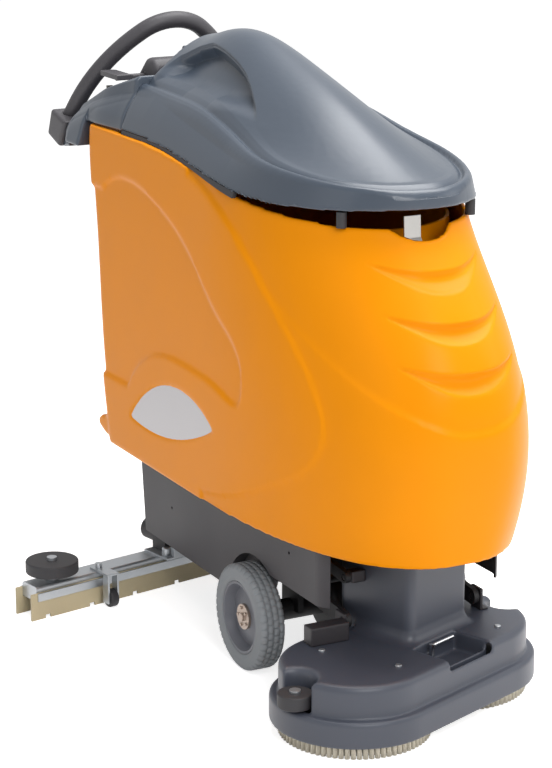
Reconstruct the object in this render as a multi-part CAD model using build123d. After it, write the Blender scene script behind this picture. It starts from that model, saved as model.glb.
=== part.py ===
from build123d import *
import os
from math import cos, hypot, pi, radians, sin, sqrt

# Walk-behind floor scrubber, in millimetres.
# +Z is up and the machine drives towards -Y, so -X is its right side.
# The origin is the point of the floor under the middle of the drive axle.

# Drive wheels and axle
WHEEL_D = 200.0
WHEEL_WIDTH = 48.0
WHEEL_FACE_X = 218.0
RIM_D = 136.0
RIM_WALL = 5.0
RIM_WEB = 6.0
HUB_D = 52.0
HUB_PLATE = 5.0
AXLE_D = 24.0
AXLE_TUBE_D = 40.0
AXLE_TUBE_GAP = 4.0
GEAR_CASE_D = 110.0
GEAR_CASE_WIDTH = 90.0
DRIVE_MOTOR_D = 88.0
DRIVE_MOTOR_END_Y = 178.0
SADDLE_X = 100.0
SADDLE_WIDTH = 12.0

# Chassis
CHASSIS_HALF_WIDTH = 185.0
CHASSIS_WALL = 5.0
CHASSIS_TOP = 392.0
CHASSIS_REAR_TOP_Y = 515.0
CHASSIS_REAR_LOW_Y = 483.0
CHASSIS_REAR_BOTTOM = 120.0
CHASSIS_FRONT_BOTTOM = 197.0
CHASSIS_FRONT_Y = -270.0
CHASSIS_CORNER_R = 35.0
CHASSIS_FLOOR = 172.0
CHASSIS_FLOOR_THICK = 6.0
CHASSIS_FLOOR_END_Y = 455.0
CROSSWALL_Y = -34.0
FRONT_OPENING_HALF = 170.0
REAR_WALL_BOTTOM = 200.0
ARCH_GAP = 15.0
POCKET_WALL_X = 155.0
SIDE_HOLE_R = 3.0
SIDE_HOLE_DEPTH = 15.0
SIDE_HOLES = ((357.0, 203.0), (-137.0, 263.0))
SIDE_BOSS_R = 9.0

# Batteries in the chassis bay
BATTERY_WIDTH = 162.0
BATTERY_LENGTH = 322.0
BATTERY_HEIGHT = 205.0
BATTERY_FRONT_Y = 125.0
BATTERY_MID_GAP = 8.0
TERMINAL_R = 9.0
TERMINAL_HEIGHT = 5.0

# Rear swivel caster
CASTER_Y = 300.0
CASTER_D = 100.0
CASTER_WIDTH = 32.0
CASTER_TRAIL = 35.0
CASTER_STEM_R = 10.0
CASTER_STEM_LENGTH = 30.0
CASTER_BOSS_R = 45.0
CASTER_BOSS_BOTTOM = 134.0
CASTER_PLATE = 5.0
CASTER_PIN_R = 6.0

# Fits
RUN_FIT = 0.05
SKIN_GAP = 0.3
SIDE_GAP = 1.0

# Tank body: height, front, rear and nose fullness of each level of the moulded envelope
TANK_LEVELS = (
    (300.0, -426.0, 548.0, 2.45),
    (420.0, -452.0, 586.0, 2.78),
    (560.0, -466.0, 620.0, 2.6),
    (650.0, -443.0, 636.0, 2.4),
    (750.0, -377.0, 656.0, 2.22),
    (930.0, -255.0, 680.0, 2.13),
)
TANK_BASE = 300.0
TANK_HALF_WIDTH = 243.0
TANK_TAPER = 26.0 / 600.0
TANK_SIDE_END_Y = 130.0
TANK_CORNER_R = 30.0
TANK_WALL = 9.0
TANK_FLOOR_THICK = 8.0
TANK_ROOF_FRONT_Y = 545.0
TANK_ROOF_THICK = 8.0
PANEL_STEP = 5.0
RIM_REAR_Z = 920.0
RIM_POINTS = ((450.0, 920.0), (192.0, 903.0), (-28.0, 874.0), (-224.0, 862.0), (-340.0, 861.0))
RIM_DIP_HALF = 62.0
RIM_DIP_Z = 840.0
RIM_DIP_TOP = 864.0
TAIL_POINTS = ((540.0, 352.0), (578.0, 345.0), (594.0, 333.0), (589.0, 322.0), (556.0, 310.0), (530.0, 310.0))
TAIL_INSET = 2.0
BAFFLE_X = 80.0
BAFFLE_THICK = 8.0
BAFFLE_FRONT_Y = -190.0
BAFFLE_REAR_Y = 450.0

# Relief on the tank sides, as points (Y, Z) of smooth outlines
WING_OUTLINE = (
    (208.0, 893.0),
    (63.0, 841.0),
    (-58.0, 755.0),
    (-170.0, 667.0),
    (-248.0, 590.0),
    (-279.0, 515.0),
    (-261.0, 471.0),
    (-156.0, 404.0),
    (-76.0, 366.0),
    (109.0, 319.0),
)
LOBE_OUTLINE = (
    (595.0, 805.0),
    (537.0, 834.0),
    (353.0, 820.0),
    (199.0, 755.0),
    (68.0, 659.0),
    (-31.0, 571.0),
    (-22.0, 513.0),
    (38.0, 518.0),
    (171.0, 533.0),
    (303.0, 529.0),
    (447.0, 436.0),
)
LOBE_REAR_Y = 700.0
LOBE_REAR_Z = (430.0, 800.0)
BADGE_TOP_ARC = ((434.0, 378.0), (291.0, 476.0), (64.0, 442.0))
BADGE_BOTTOM_MID = (225.0, 383.0)
BADGE_DEPTH = 4.0
BADGE_THICK = 2.0
BADGE_EDGE_GAP = 1.5

# Front crescents: upper crease height, lower lip height, half-width, rise of the tips
CRESCENTS = (
    (796.0, 764.0, 108.0, 11.0),
    (719.0, 688.0, 110.0, 10.0),
    (643.0, 608.0, 112.0, 10.0),
)
CRESCENT_TILT = 9.0
APRON_EDGE = ((0.0, 541.0), (100.0, 569.0), (157.0, 610.0), (186.0, 658.0), (207.0, 739.0))
APRON_SIDE_STEP = 1.0

# Recovery tub inside the tank body
TUB_FRONT_Y = -205.0
TUB_REAR_Y = 520.0
TUB_FLOOR = 520.0
TUB_GAP = 4.0
TUB_TOP = 846.0
TUB_WALL = 6.0
TUB_CORNER_R = 40.0
TUB_NOSE_POWER = 2.25

# Lid
LID_LOW_POINTS = ((450.0, 928.0), (200.0, 911.0), (-20.0, 889.0), (-200.0, 890.0), (-340.0, 901.0))
LID_REAR_Y = 530.0
LID_BEAD_HALF_WIDTH = 185.0
LID_BEAD_Z = 990.0
LID_LEAN = 0.36
LID_TIP_Y = -303.0
LID_WALL = 5.0
LID_CORNER_R = 8.0
LID_PLAN_LOW = 820.0
LID_PLAN_HIGH = 1150.0
LID_REACH = 320.0
# Stations of the dome: Y, height of the edge bead, height of the ridge
LID_STATIONS = (
    (-360.0, 915.0, 917.0),
    (-261.0, 926.0, 931.0),
    (-141.0, 935.0, 970.0),
    (-34.0, 945.0, 1009.0),
    (78.0, 960.0, 1048.0),
    (214.0, 983.0, 1089.0),
    (369.0, 993.0, 1125.0),
    (450.0, 996.0, 1119.0),
    (540.0, 1000.0, 1104.0),
)
LID_CROWN = ((0.0, 1.0), (0.2, 0.93), (0.4, 0.73), (0.6, 0.44), (0.8, 0.16), (1.0, 0.0), (1.5, -0.03))
LID_MIN_CREST = 60.0
LID_NOSE_POWER = 2.2
GASKET_WIDTH = 8.0
GASKET_INSET = 1.5
GASKET_FRONT_Y = 20.0

# Lid hinge behind the dome
HINGE_Y = 541.0
HINGE_Z = 1072.0
HINGE_EYE_R = 9.0
HINGE_PIN_R = 4.0
HINGE_ARM_X = 40.0
HINGE_ARM_WIDTH = 12.0
HINGE_TAB_WIDTH = 10.0
HINGE_ARM_DEPTH = 15.0
HINGE_PIN_END = 3.0

# Front gap fittings
BUFFER_X = 128.0
BUFFER_Y = -218.0
BUFFER_R = 9.0
STRAP_X = -24.0
STRAP_WIDTH = 32.0
STRAP_POINTS = (
    (-327.0, 795.0),
    (-280.0, 846.0),
    (-278.0, 884.0),
    (-275.0, 884.0),
    (-276.0, 844.0),
    (-316.0, 795.0),
)

# Console and handle
# Console stations: Y, height of the side bead, height of the top
CONSOLE_STATIONS = ((533.0, 998.0, 1030.0), (653.0, 966.0, 990.0), (748.0, 930.0, 948.0), (790.0, 901.0, 910.0))
CONSOLE_HALF_WIDTH = 212.0
CONSOLE_BEAD_HALF = 203.0
CONSOLE_TOP_HALF = 176.0
CONSOLE_BEAD_DROP = 12.0
CONSOLE_REAR_TOP = (790.0, 906.0)
CONSOLE_REAR_LOW = (826.0, 850.0)
CONSOLE_REAR_WALL_Y = 694.0
CONSOLE_UNDER_Z = 872.0
CONSOLE_SEAT_Z = 934.0
CONSOLE_WALL = 5.0
CONSOLE_RIB_X = 150.0
CONSOLE_RIB = 6.0
CONSOLE_RIB_Y = (560.0, 650.0)
BEAM_HALF_WIDTH = 216.0
BEAM_REAR_TOP = (862.0, 924.0)
BEAM_REAR_LOW = (886.0, 869.0)
BEAM_CHAMFER = 4.0
HOOP_D = 34.0
HOOP_FOOT_X = 175.0
HOOP_FOOT_Y = 822.0
HOOP_FOOT_Z = 936.0
HOOP_LEAN = 0.6
HOOP_HEIGHT = 203.0
HOOP_TOP_R = 100.0
HOOP_TOP_HALF_ANGLE = 40.0
HOOP_SOCKET = 34.0

# Instrument pod and controls
POD_HALF_WIDTH = 105.0
POD_PROFILE = (
    (590.0, 965.0),
    (590.0, 1034.0),
    (604.0, 1050.0),
    (632.0, 1050.0),
    (712.0, 978.0),
    (712.0, 935.0),
)
POD_EDGE_R = 10.0
LENS_WIDTH = 90.0
LENS_LENGTH = 40.0
LENS_THICK = 3.0
LENS_CORNER_R = 6.0
BUTTON_R = 8.0
BUTTON_X = 68.0
BUTTON_TRAVEL = 2.0
BUTTON_PROUD = 5.0
BUTTON_SUNK = 4.0
BUTTON_EDGE_R = 1.5
STOP_R = 17.0
STOP_HEAD = 10.0
STOP_STEM_R = 9.0
STOP_TRAVEL = 5.0
STOP_X = 148.0
KEY_R = 12.0
KEY_HEIGHT = 6.0
KEY_STEM_R = 6.0
KEY_BOW = 14.0
KEY_BLADE = 3.0
KEY_X = -150.0
PADDLE_Y = 640.0
PADDLE_Z = 1012.0
PADDLE_SHAFT_R = 6.0
PADDLE_HALF_WIDTH = 165.0
PADDLE_LENGTH = 84.0
PADDLE_THICK = 9.0
PADDLE_BLADE = 34.0

# Suction side
VACUUM_R = 48.0
VACUUM_Y = 600.0
VACUUM_HEIGHT = 44.0
PORT_R = 25.0
PORT_WALL = 4.0
PORT_LENGTH = 40.0
PORT_FLANGE_R = 38.0
PORT_Z = 700.0
PORT_Y = 652.0

# Brush deck, laid out along its own skewed axes: u to the left, w to the rear
DECK_X = -33.0
DECK_Y = -290.0
DECK_SKEW = 21.2
BRUSH_PITCH = 278.0
BRUSH_R = 135.0
SKIRT_R = 149.0
SKIRT_BOTTOM = 24.0
SKIRT_EDGE_R = 8.0
LEDGE_Z = 72.0
DOME_R = 133.0
DOME_TOP = 130.0
DOME_EDGE_R = 12.0
DECK_WALL = 5.0
TOWER_U = (-27.0, 140.0)
TOWER_W = (-32.0, 132.0)
TOWER_TOP = 272.0
TOWER_CORNER_R = 16.0
# Flare at the tower's foot: how far out at each height over the dome
TOWER_FLARE = ((18.0, -1.0), (9.0, 4.0), (3.0, 11.0), (0.0, 22.0))
TOWER_FLARE_REAR_W = 90.0
POCKET_U = (-40.0, 80.0)
POCKET_W = (-150.0, -48.0)
POCKET_SILL = 112.0
POCKET_FLOOR = 94.0
POCKET_BACK_W = -112.0
ROLLER_U = 268.0
ROLLER_W = 25.0
ROLLER_R = 31.0
ROLLER_HEIGHT = 25.0
ROLLER_BOTTOM = 76.0
ROLLER_NICHE_GAP = 6.0
ROLLER_BOLT_R = 6.0
ROLLER_HEAD_R = 10.0
ROLLER_HEAD_HEIGHT = 4.0
DECK_SCREW_R = 6.0
DECK_SCREW_HEAD = 3.0
DECK_SCREWS = ((-150.0, 66.0), (-117.0, -78.0), (147.0, -94.0), (236.0, 30.0))

# Brushes and their belt drive
BRISTLE_LENGTH = 37.0
BRISTLE_SLICE = 3.0
BRISTLE_SIZE = 6.4
BRISTLE_RINGS = ((129.0, 70), (114.0, 56), (99.0, 48))
BRUSH_PLATE_THICK = 10.0
SPINDLE_R = 12.0
SPINDLE_TOP = 108.0
SPINDLE_BOSS_R = 20.0
SPINDLE_BOSS_Z = 98.0
PULLEY_R = 45.0
PULLEY_Z = (72.0, 88.0)
BELT_THICK = 4.0
BELT_Z = (74.0, 86.0)
MOTOR_R = 52.0
MOTOR_TOP = 256.0
MOTOR_BOTTOM = 132.0
MOTOR_U = 58.0
MOTOR_W = 52.0
MOTOR_PULLEY_R = 22.0
MOTOR_SHAFT_R = 8.0
RELEASE_U = 2.0
RELEASE_W = -58.0
RELEASE_LENGTH = 60.0
RELEASE_HALF = 3.5
RELEASE_PIN_R = 3.0
RELEASE_EYE_R = 6.0
RELEASE_LUG = 3.0
RELEASE_AXIS = 9.0
RELEASE_RISE = 24.0

# Deck lift linkage
LIFT_AXIS_Y = -55.0
LIFT_AXIS_Z = 168.0
DECK_AXIS_Y = -225.0
DECK_AXIS_Z = 155.0
ARM_RIGHT_X = -118.0
ARM_LEFT_X = 147.0
ARM_THICK = 10.0
ARM_R = 15.0
LIFT_SHAFT_R = 9.0
DECK_PIN_R = 7.0
EAR_THICK = 6.0
EAR_HALF = 17.0
LIFT_EAR_X = 98.0
LINK_RISE = 80.0
LINK_X = -118.0
LINK_THICK = 10.0
LINK_R = 11.0
LINK_PIN_R = 6.0
LINK_OPEN_GAP = 1.0
LINK_BRACKET = 66.0
RIGHT_BRACKET_X = (-206.0, -130.0)
RIGHT_BRACKET_Y = (-262.0, -232.0)
RIGHT_BRACKET_HEIGHT = 34.0

# Squeegee lift frame with its curved rail
FRAME_PIVOT_Y = 150.0
FRAME_PIVOT_Z = 140.0
FRAME_PIN_R = 8.0
FRAME_BAR_X = 152.0
FRAME_BAR_WIDTH = 12.0
FRAME_BAR_HEIGHT = 20.0
RAIL_CENTRE_Y = -160.0
RAIL_R_IN = 570.0
RAIL_R_OUT = 610.0
RAIL_Z = 104.0
RAIL_THICK = 8.0

# Squeegee, laid out along its own axes: s along the blades, t to the rear
SQUEEGEE_R = 669.0
SQUEEGEE_SWING = 11.2
SQUEEGEE_HALF = 350.0
BODY_HALF = 336.0
BODY_HALF_DEPTH = 25.0
BODY_BOTTOM = 36.0
BODY_TOP = 66.0
BODY_WALL = 4.0
BLADE_THICK = 4.0
BLADE_TOP = 54.0
STRIP_THICK = 3.0
STRIP_HEIGHT = 16.0
NOTCH_WIDTH = 12.0
NOTCH_HEIGHT = 7.0
NOTCH_PITCH = 104.0
YOKE_HALF = 45.0
YOKE_THICK = 4.0
CARRIAGE_HALF = 27.0
CARRIAGE_PLATE = 4.0
CARRIAGE_WEB = 6.0
ELBOW_R = 23.0
ELBOW_BORE_R = 19.0
ELBOW_TOP = 122.0
ELBOW_HALF = 24.0
ELBOW_T = (-22.0, 21.0)
ELBOW_WALL = 4.0
ELBOW_TUBE_Z = 97.0
ELBOW_TUBE_END = 64.0
TIP_ROLLER_S = 282.0
TIP_ROLLER_R = 52.0
TIP_ROLLER_HEIGHT = 24.0
TIP_ROLLER_BOTTOM = 81.0
TIP_BOLT_R = 6.0
TIP_HEAD_R = 10.0
TIP_SPACER_R = 14.0
SUPPORT_S = 180.0
SUPPORT_T = -54.0
SUPPORT_R = 18.0
SUPPORT_WIDTH = 16.0
SUPPORT_PIN_R = 4.0
SUPPORT_PLATE = 4.0
SUPPORT_LEG_HALF = 9.0
KNOB_S = 30.0
KNOB_T = -35.0
KNOB_R = 9.0
KNOB_HEIGHT = 16.0


# Shape helpers


def block(x, y, z):
    """Box between two corners, each axis given as (low, high)."""
    size = [high - low for low, high in (x, y, z)]
    middle = [(low + high) / 2 for low, high in (x, y, z)]
    return Pos(*middle) * Box(*size)


def rod_x(y, z, r, x0, x1):
    return Pos((x0 + x1) / 2, y, z) * Rot(0, 90, 0) * Cylinder(r, abs(x1 - x0))


def rod_y(x, z, r, y0, y1):
    return Pos(x, (y0 + y1) / 2, z) * Rot(90, 0, 0) * Cylinder(r, abs(y1 - y0))


def rod_z(x, y, r, z0, z1):
    return Pos(x, y, (z0 + z1) / 2) * Cylinder(r, abs(z1 - z0))


def side_prism(points, x0, x1):
    """Polygon of (Y, Z) points, drawn out from x0 to x1."""
    return Pos(x0, 0, 0) * extrude(Plane.YZ * make_face(Polyline(*points, close=True)), x1 - x0)


def side_curve_prism(curve, x0, x1):
    """Closed curve in (Y, Z), drawn out from x0 to x1."""
    return Pos(x0, 0, 0) * extrude(Plane.YZ * make_face(curve), x1 - x0)


def front_prism(face_curve, y0, y1):
    """Closed curve in (X, Z), drawn out from y0 to y1."""
    return Pos(0, y1, 0) * extrude(Plane.XZ * make_face(face_curve), y1 - y0)


def mirrored(shape):
    return mirror(shape, about=Plane.YZ)


def both_sides(right_side):
    return right_side + mirrored(right_side)


def deck_place(shape):
    return Pos(DECK_X, DECK_Y, 0) * Rot(0, 0, DECK_SKEW) * shape


def squeegee_place(shape):
    swing = radians(SQUEEGEE_SWING)
    x = -SQUEEGEE_R * sin(swing)
    y = RAIL_CENTRE_Y + SQUEEGEE_R * cos(swing)
    return Pos(x, y, 0) * Rot(0, 0, SQUEEGEE_SWING) * shape


# Chassis and drive


def chassis_profile(inset):
    front = CHASSIS_FRONT_Y + inset
    rear_top = CHASSIS_REAR_TOP_Y - inset
    rear_low = CHASSIS_REAR_LOW_Y - inset
    return (
        (front, CHASSIS_FRONT_BOTTOM),
        (0.0, CHASSIS_FRONT_BOTTOM),
        (0.0, CHASSIS_REAR_BOTTOM),
        (rear_low, CHASSIS_REAR_BOTTOM),
        (rear_top, CHASSIS_TOP),
        (front, CHASSIS_TOP),
    )


def rounded_front(shape, r):
    front = shape.edges().filter_by(Axis.Z).group_by(Axis.Y)[0]
    return fillet(front, r)


def chassis():
    """Welded frame: plates that meet face to face, each a solid of its own."""
    side, cup, boss = side_plate(), wheel_pocket(), frame_boss()
    pieces = [side, mirrored(side), floor_plate(), cross_wall(), rear_wall(), caster_boss()]
    pieces += [cup, mirrored(cup), boss, mirrored(boss)]
    return pieces + lift_ears()


def chassis_walls():
    """Side and end walls in one, before they are parted."""
    half = CHASSIS_HALF_WIDTH
    inner_half = half - CHASSIS_WALL
    outer = rounded_front(side_prism(chassis_profile(0.0), -half, half), CHASSIS_CORNER_R)
    inner = side_prism(chassis_profile(CHASSIS_WALL), -inner_half, inner_half)
    return outer - rounded_front(inner, CHASSIS_CORNER_R - CHASSIS_WALL)


def arch_hole(x_in):
    """Space for the right wheel, from outside the frame to x_in."""
    return rod_x(0, WHEEL_D / 2, WHEEL_D / 2 + ARCH_GAP, -CHASSIS_HALF_WIDTH - 1.0, x_in)


def side_plate():
    """Right side of the frame with its front lip, wheel arch and screw bosses."""
    half = CHASSIS_HALF_WIDTH
    inner_half = half - CHASSIS_WALL
    heights = (0.0, CHASSIS_TOP)
    lip = block((-half, -FRONT_OPENING_HALF), (CHASSIS_FRONT_Y, CROSSWALL_Y), heights)
    side = block((-half, -inner_half), (CHASSIS_FRONT_Y, CHASSIS_REAR_TOP_Y), heights)
    plate = chassis_walls() & (lip + side)
    plate -= arch_hole(0.0)
    inside = half - SIDE_HOLE_DEPTH
    for y, z in SIDE_HOLES:
        plate += rod_x(y, z, SIDE_BOSS_R, -half, -inside)
        plate -= rod_x(y, z, SIDE_HOLE_R, -half, -inside)
    return plate


def floor_plate():
    inner_half = CHASSIS_HALF_WIDTH - CHASSIS_WALL
    heights = (CHASSIS_FLOOR, CHASSIS_FLOOR + CHASSIS_FLOOR_THICK)
    plate = block((-inner_half, inner_half), (CROSSWALL_Y, CHASSIS_FLOOR_END_Y), heights)
    arch_r = WHEEL_D / 2 + ARCH_GAP + CHASSIS_WALL
    notch_end = sqrt(arch_r ** 2 - (CHASSIS_FLOOR - WHEEL_D / 2) ** 2) + SIDE_GAP
    return plate - both_sides(block((-inner_half, -POCKET_WALL_X), (CROSSWALL_Y, notch_end), heights))


def cross_wall():
    inner_half = CHASSIS_HALF_WIDTH - CHASSIS_WALL
    y = (CROSSWALL_Y - CHASSIS_FLOOR_THICK, CROSSWALL_Y)
    wall = block((-inner_half, inner_half), y, (CHASSIS_FLOOR, CHASSIS_TOP))
    arch_r = WHEEL_D / 2 + ARCH_GAP + CHASSIS_WALL
    notch_top = WHEEL_D / 2 + sqrt(arch_r ** 2 - CROSSWALL_Y ** 2) + SIDE_GAP
    return wall - both_sides(block((-inner_half, -POCKET_WALL_X), y, (CHASSIS_FLOOR, notch_top)))


def rear_wall():
    inner_half = CHASSIS_HALF_WIDTH - CHASSIS_WALL
    ends = (CHASSIS_FLOOR_END_Y, CHASSIS_REAR_TOP_Y)
    return chassis_walls() & block((-inner_half, inner_half), ends, (REAR_WALL_BOTTOM, CHASSIS_TOP))


def wheel_pocket():
    """Right wheel's cup inside the side plate, open below."""
    z = WHEEL_D / 2
    inner_half = CHASSIS_HALF_WIDTH - CHASSIS_WALL
    cup = rod_x(0, z, z + ARCH_GAP + CHASSIS_WALL, -inner_half, -POCKET_WALL_X)
    cup &= side_prism(chassis_profile(0.0), -inner_half, inner_half)
    cup -= arch_hole(-POCKET_WALL_X - CHASSIS_WALL)
    return cup - rod_x(0, z, AXLE_TUBE_D / 2 + AXLE_TUBE_GAP, -inner_half, 0.0)


def caster_boss():
    boss = rod_z(0, CASTER_Y, CASTER_BOSS_R, CASTER_BOSS_BOTTOM, CHASSIS_FLOOR)
    bore_top = CASTER_BOSS_BOTTOM + CASTER_STEM_LENGTH + SIDE_GAP
    return boss - rod_z(0, CASTER_Y, CASTER_STEM_R + RUN_FIT, CASTER_BOSS_BOTTOM, bore_top)


def lift_ears():
    """Plates on the cross wall that carry the deck's lift shaft and the upper link."""
    back = CROSSWALL_Y - CHASSIS_FLOOR_THICK
    front = LIFT_AXIS_Y - ARM_R
    low = LIFT_AXIS_Z - ARM_R
    plate = block((-LIFT_EAR_X - EAR_THICK, -LIFT_EAR_X), (front, back), (low, CHASSIS_FLOOR + ARM_R))
    ear = plate - rod_x(LIFT_AXIS_Y, LIFT_AXIS_Z, LIFT_SHAFT_R + RUN_FIT, -CHASSIS_HALF_WIDTH, 0.0)
    link_z = LIFT_AXIS_Z + LINK_RISE
    inner = LINK_X + LINK_THICK / 2 + SIDE_GAP
    link_ear = block((inner, inner + EAR_THICK), (front, back), (link_z - LINK_R, link_z + LINK_R))
    pin = rod_x(LIFT_AXIS_Y, link_z, LINK_PIN_R, LINK_X - LINK_THICK / 2, inner)
    return [ear, mirrored(ear), link_ear + pin]


def frame_boss():
    inner_half = CHASSIS_HALF_WIDTH - CHASSIS_WALL
    start = FRAME_BAR_X + FRAME_BAR_WIDTH + SIDE_GAP
    boss = rod_x(FRAME_PIVOT_Y, FRAME_PIVOT_Z, FRAME_PIN_R * 2, -inner_half, -start)
    return boss - rod_x(FRAME_PIVOT_Y, FRAME_PIVOT_Z, FRAME_PIN_R + RUN_FIT, -inner_half, -start)


def transaxle():
    z = WHEEL_D / 2
    case = rod_x(0, z, GEAR_CASE_D / 2, -GEAR_CASE_WIDTH / 2, GEAR_CASE_WIDTH / 2)
    case = fillet(case.edges(), 10.0)
    tube_end = POCKET_WALL_X + CHASSIS_WALL
    case += rod_x(0, z, AXLE_TUBE_D / 2, -tube_end, tube_end)
    motor = rod_y(0, z + 8.0, DRIVE_MOTOR_D / 2, GEAR_CASE_D / 2 - 12.0, DRIVE_MOTOR_END_Y)
    case += fillet(motor.edges().group_by(Axis.Y)[-1], 8.0)
    saddle_half = AXLE_TUBE_D / 2 + 10.0
    saddle = block((-SADDLE_X - SADDLE_WIDTH, -SADDLE_X), (CROSSWALL_Y, saddle_half), (z, CHASSIS_FLOOR))
    case += both_sides(saddle)
    bore = rod_x(0, z, AXLE_D / 2 + RUN_FIT, -tube_end, -SADDLE_X)
    return case - both_sides(bore)


def wheel_x(depth):
    """X of a point on the right wheel, depth mm in from its outer face."""
    return -WHEEL_FACE_X + depth


def revolve_about_axle(points):
    """Half-section of (depth, radius) points on the right wheel, turned about the axle."""
    section = Polyline(*[(wheel_x(depth), r) for depth, r in points], close=True)
    turned = revolve(Plane.XY * make_face(section), Axis.X)
    return Pos(0, 0, WHEEL_D / 2) * turned


def tyre():
    r, bore, w = WHEEL_D / 2, RIM_D / 2, WHEEL_WIDTH
    shoulder = 5.0
    groove, depth = 4.0, 5.0
    points = [(0.0, bore), (0.0, r - shoulder), (shoulder, r)]
    for centre in (w / 3, 2 * w / 3):
        points += [(centre - groove / 2, r), (centre - groove / 2, r - depth)]
        points += [(centre + groove / 2, r - depth), (centre + groove / 2, r)]
    points += [(w - shoulder, r), (w, r - shoulder), (w, bore)]
    return revolve_about_axle(points)


def rim():
    r, hub = RIM_D / 2, HUB_D / 2
    lip, web_at = 2.0, 20.0
    inner = r - RIM_WALL
    points = (
        (lip, r),
        (lip, inner),
        (web_at, inner - 8.0),
        (web_at - 6.0, hub),
        (web_at - 6.0, AXLE_D / 2),
        (web_at + RIM_WEB + 4.0, AXLE_D / 2),
        (web_at + RIM_WEB, inner - 10.0),
        (WHEEL_WIDTH - lip, inner),
        (WHEEL_WIDTH - lip, r),
    )
    return revolve_about_axle(points)


def hub():
    face = 14.0
    plate = rod_x(0, WHEEL_D / 2, HUB_D / 2 - 2.0, wheel_x(face - HUB_PLATE), wheel_x(face))
    shaft = rod_x(0, WHEEL_D / 2, AXLE_D / 2, wheel_x(face), -SADDLE_X - 4.0)
    nut = rod_x(0, WHEEL_D / 2, 8.0, wheel_x(face - HUB_PLATE - 5.0), wheel_x(face - HUB_PLATE))
    bolts = [
        rod_x(17.0 * cos(radians(a)), WHEEL_D / 2 + 17.0 * sin(radians(a)), 3.0,
              wheel_x(face - HUB_PLATE - 3.0), wheel_x(face - HUB_PLATE))
        for a in range(0, 360, 72)
    ]
    return plate + shaft + nut + bolts


def caster_fork():
    z = CASTER_D / 2
    top = CASTER_BOSS_BOTTOM - SKIN_GAP
    plate = rod_z(0, CASTER_Y, CASTER_BOSS_R - 7.0, top - CASTER_PLATE, top)
    stem = rod_z(0, CASTER_Y, CASTER_STEM_R, top, top + CASTER_STEM_LENGTH)
    inner = CASTER_WIDTH / 2 + SIDE_GAP
    outer = inner + CASTER_PLATE
    axle_y = CASTER_Y + CASTER_TRAIL
    reach = CASTER_BOSS_R - 12.0
    leg_points = ((CASTER_Y - reach, top - CASTER_PLATE), (axle_y - 12.0, z - 8.0), (axle_y + 8.0, z - 12.0),
                  (axle_y + 12.0, z), (CASTER_Y + reach, top - CASTER_PLATE))
    legs = both_sides(side_prism(leg_points, -outer, -inner))
    pin = rod_x(axle_y, z, CASTER_PIN_R, -outer - 3.0, outer + 3.0)
    return plate + stem + legs + pin


def caster_wheel():
    r = CASTER_D / 2
    axle_y = CASTER_Y + CASTER_TRAIL
    wheel = rod_x(axle_y, r, r, -CASTER_WIDTH / 2, CASTER_WIDTH / 2)
    wheel = fillet(wheel.edges(), 6.0)
    dish = rod_x(axle_y, r, r * 0.66, -CASTER_WIDTH / 2, -CASTER_WIDTH / 2 + 6.0)
    wheel -= both_sides(dish)
    hub_core = rod_x(axle_y, r, 14.0, -CASTER_WIDTH / 2, CASTER_WIDTH / 2)
    return wheel + hub_core - rod_x(axle_y, r, CASTER_PIN_R + RUN_FIT, -CASTER_WIDTH, CASTER_WIDTH)


def battery(side):
    near = side * BATTERY_MID_GAP / 2
    far = side * (BATTERY_MID_GAP / 2 + BATTERY_WIDTH)
    x = (min(near, far), max(near, far))
    y = (BATTERY_FRONT_Y, BATTERY_FRONT_Y + BATTERY_LENGTH)
    bottom = CHASSIS_FLOOR + CHASSIS_FLOOR_THICK
    top = bottom + BATTERY_HEIGHT
    case = fillet(block(x, y, (bottom, top)).edges().filter_by(Axis.Z), 6.0)
    for end in (y[0] + 30.0, y[1] - 30.0):
        case += rod_z((near + far) / 2, end, TERMINAL_R, top, top + TERMINAL_HEIGHT)
    return case


# Tank body


def tank_half_width(z):
    return TANK_HALF_WIDTH - TANK_TAPER * (z - TANK_BASE)


def tank_front(z):
    """Y of the envelope's front at a height, straight between the levels."""
    for (z0, front0, *_), (z1, front1, *_) in zip(TANK_LEVELS, TANK_LEVELS[1:]):
        if z <= z1:
            return front0 + (front1 - front0) * (z - z0) / (z1 - z0)


def half_plan(z, half, tip, rear, side_end, power, corner):
    """Right half of a plan: superellipse nose, straight side, round rear corner."""
    steps = 6
    nose = []
    for i in range(steps + 1):
        c, s = max(cos(pi / 2 * i / steps), 0.0), sin(pi / 2 * i / steps)
        nose.append((-half * c ** (2 / power), side_end - (side_end - tip) * s ** (2 / power)))
    outline = Spline(*nose, tangents=((0, -1), (1, 0)))
    outline += Polyline((0, tip), (0, rear), (-half + corner, rear))
    outline += CenterArc((-half + corner, rear - corner), corner, 90, 90)
    outline += Line((-half, rear - corner), (-half, side_end))
    return Pos(0, 0, z) * make_face(outline)


def tank_envelope(side_inset, end_inset):
    """Right half of the moulded envelope, drawn in by the insets."""
    faces = []
    for z, tip, rear, power in TANK_LEVELS:
        half = tank_half_width(z) - side_inset
        ends = (tip + end_inset, rear - end_inset)
        faces.append(half_plan(z, half, *ends, TANK_SIDE_END_Y, power, TANK_CORNER_R))
    return loft(faces)


def above_curve(points, top, rear):
    """Region over a curve of (Y, Z) points that runs level to the rear."""
    curve = Spline(*points)
    first, last = points[0], points[-1]
    edge = Polyline(last, (last[0], top), (rear, top), (rear, first[1]), first)
    reach = TANK_HALF_WIDTH * 2
    return side_curve_prism(curve + edge, -reach, reach)


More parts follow.
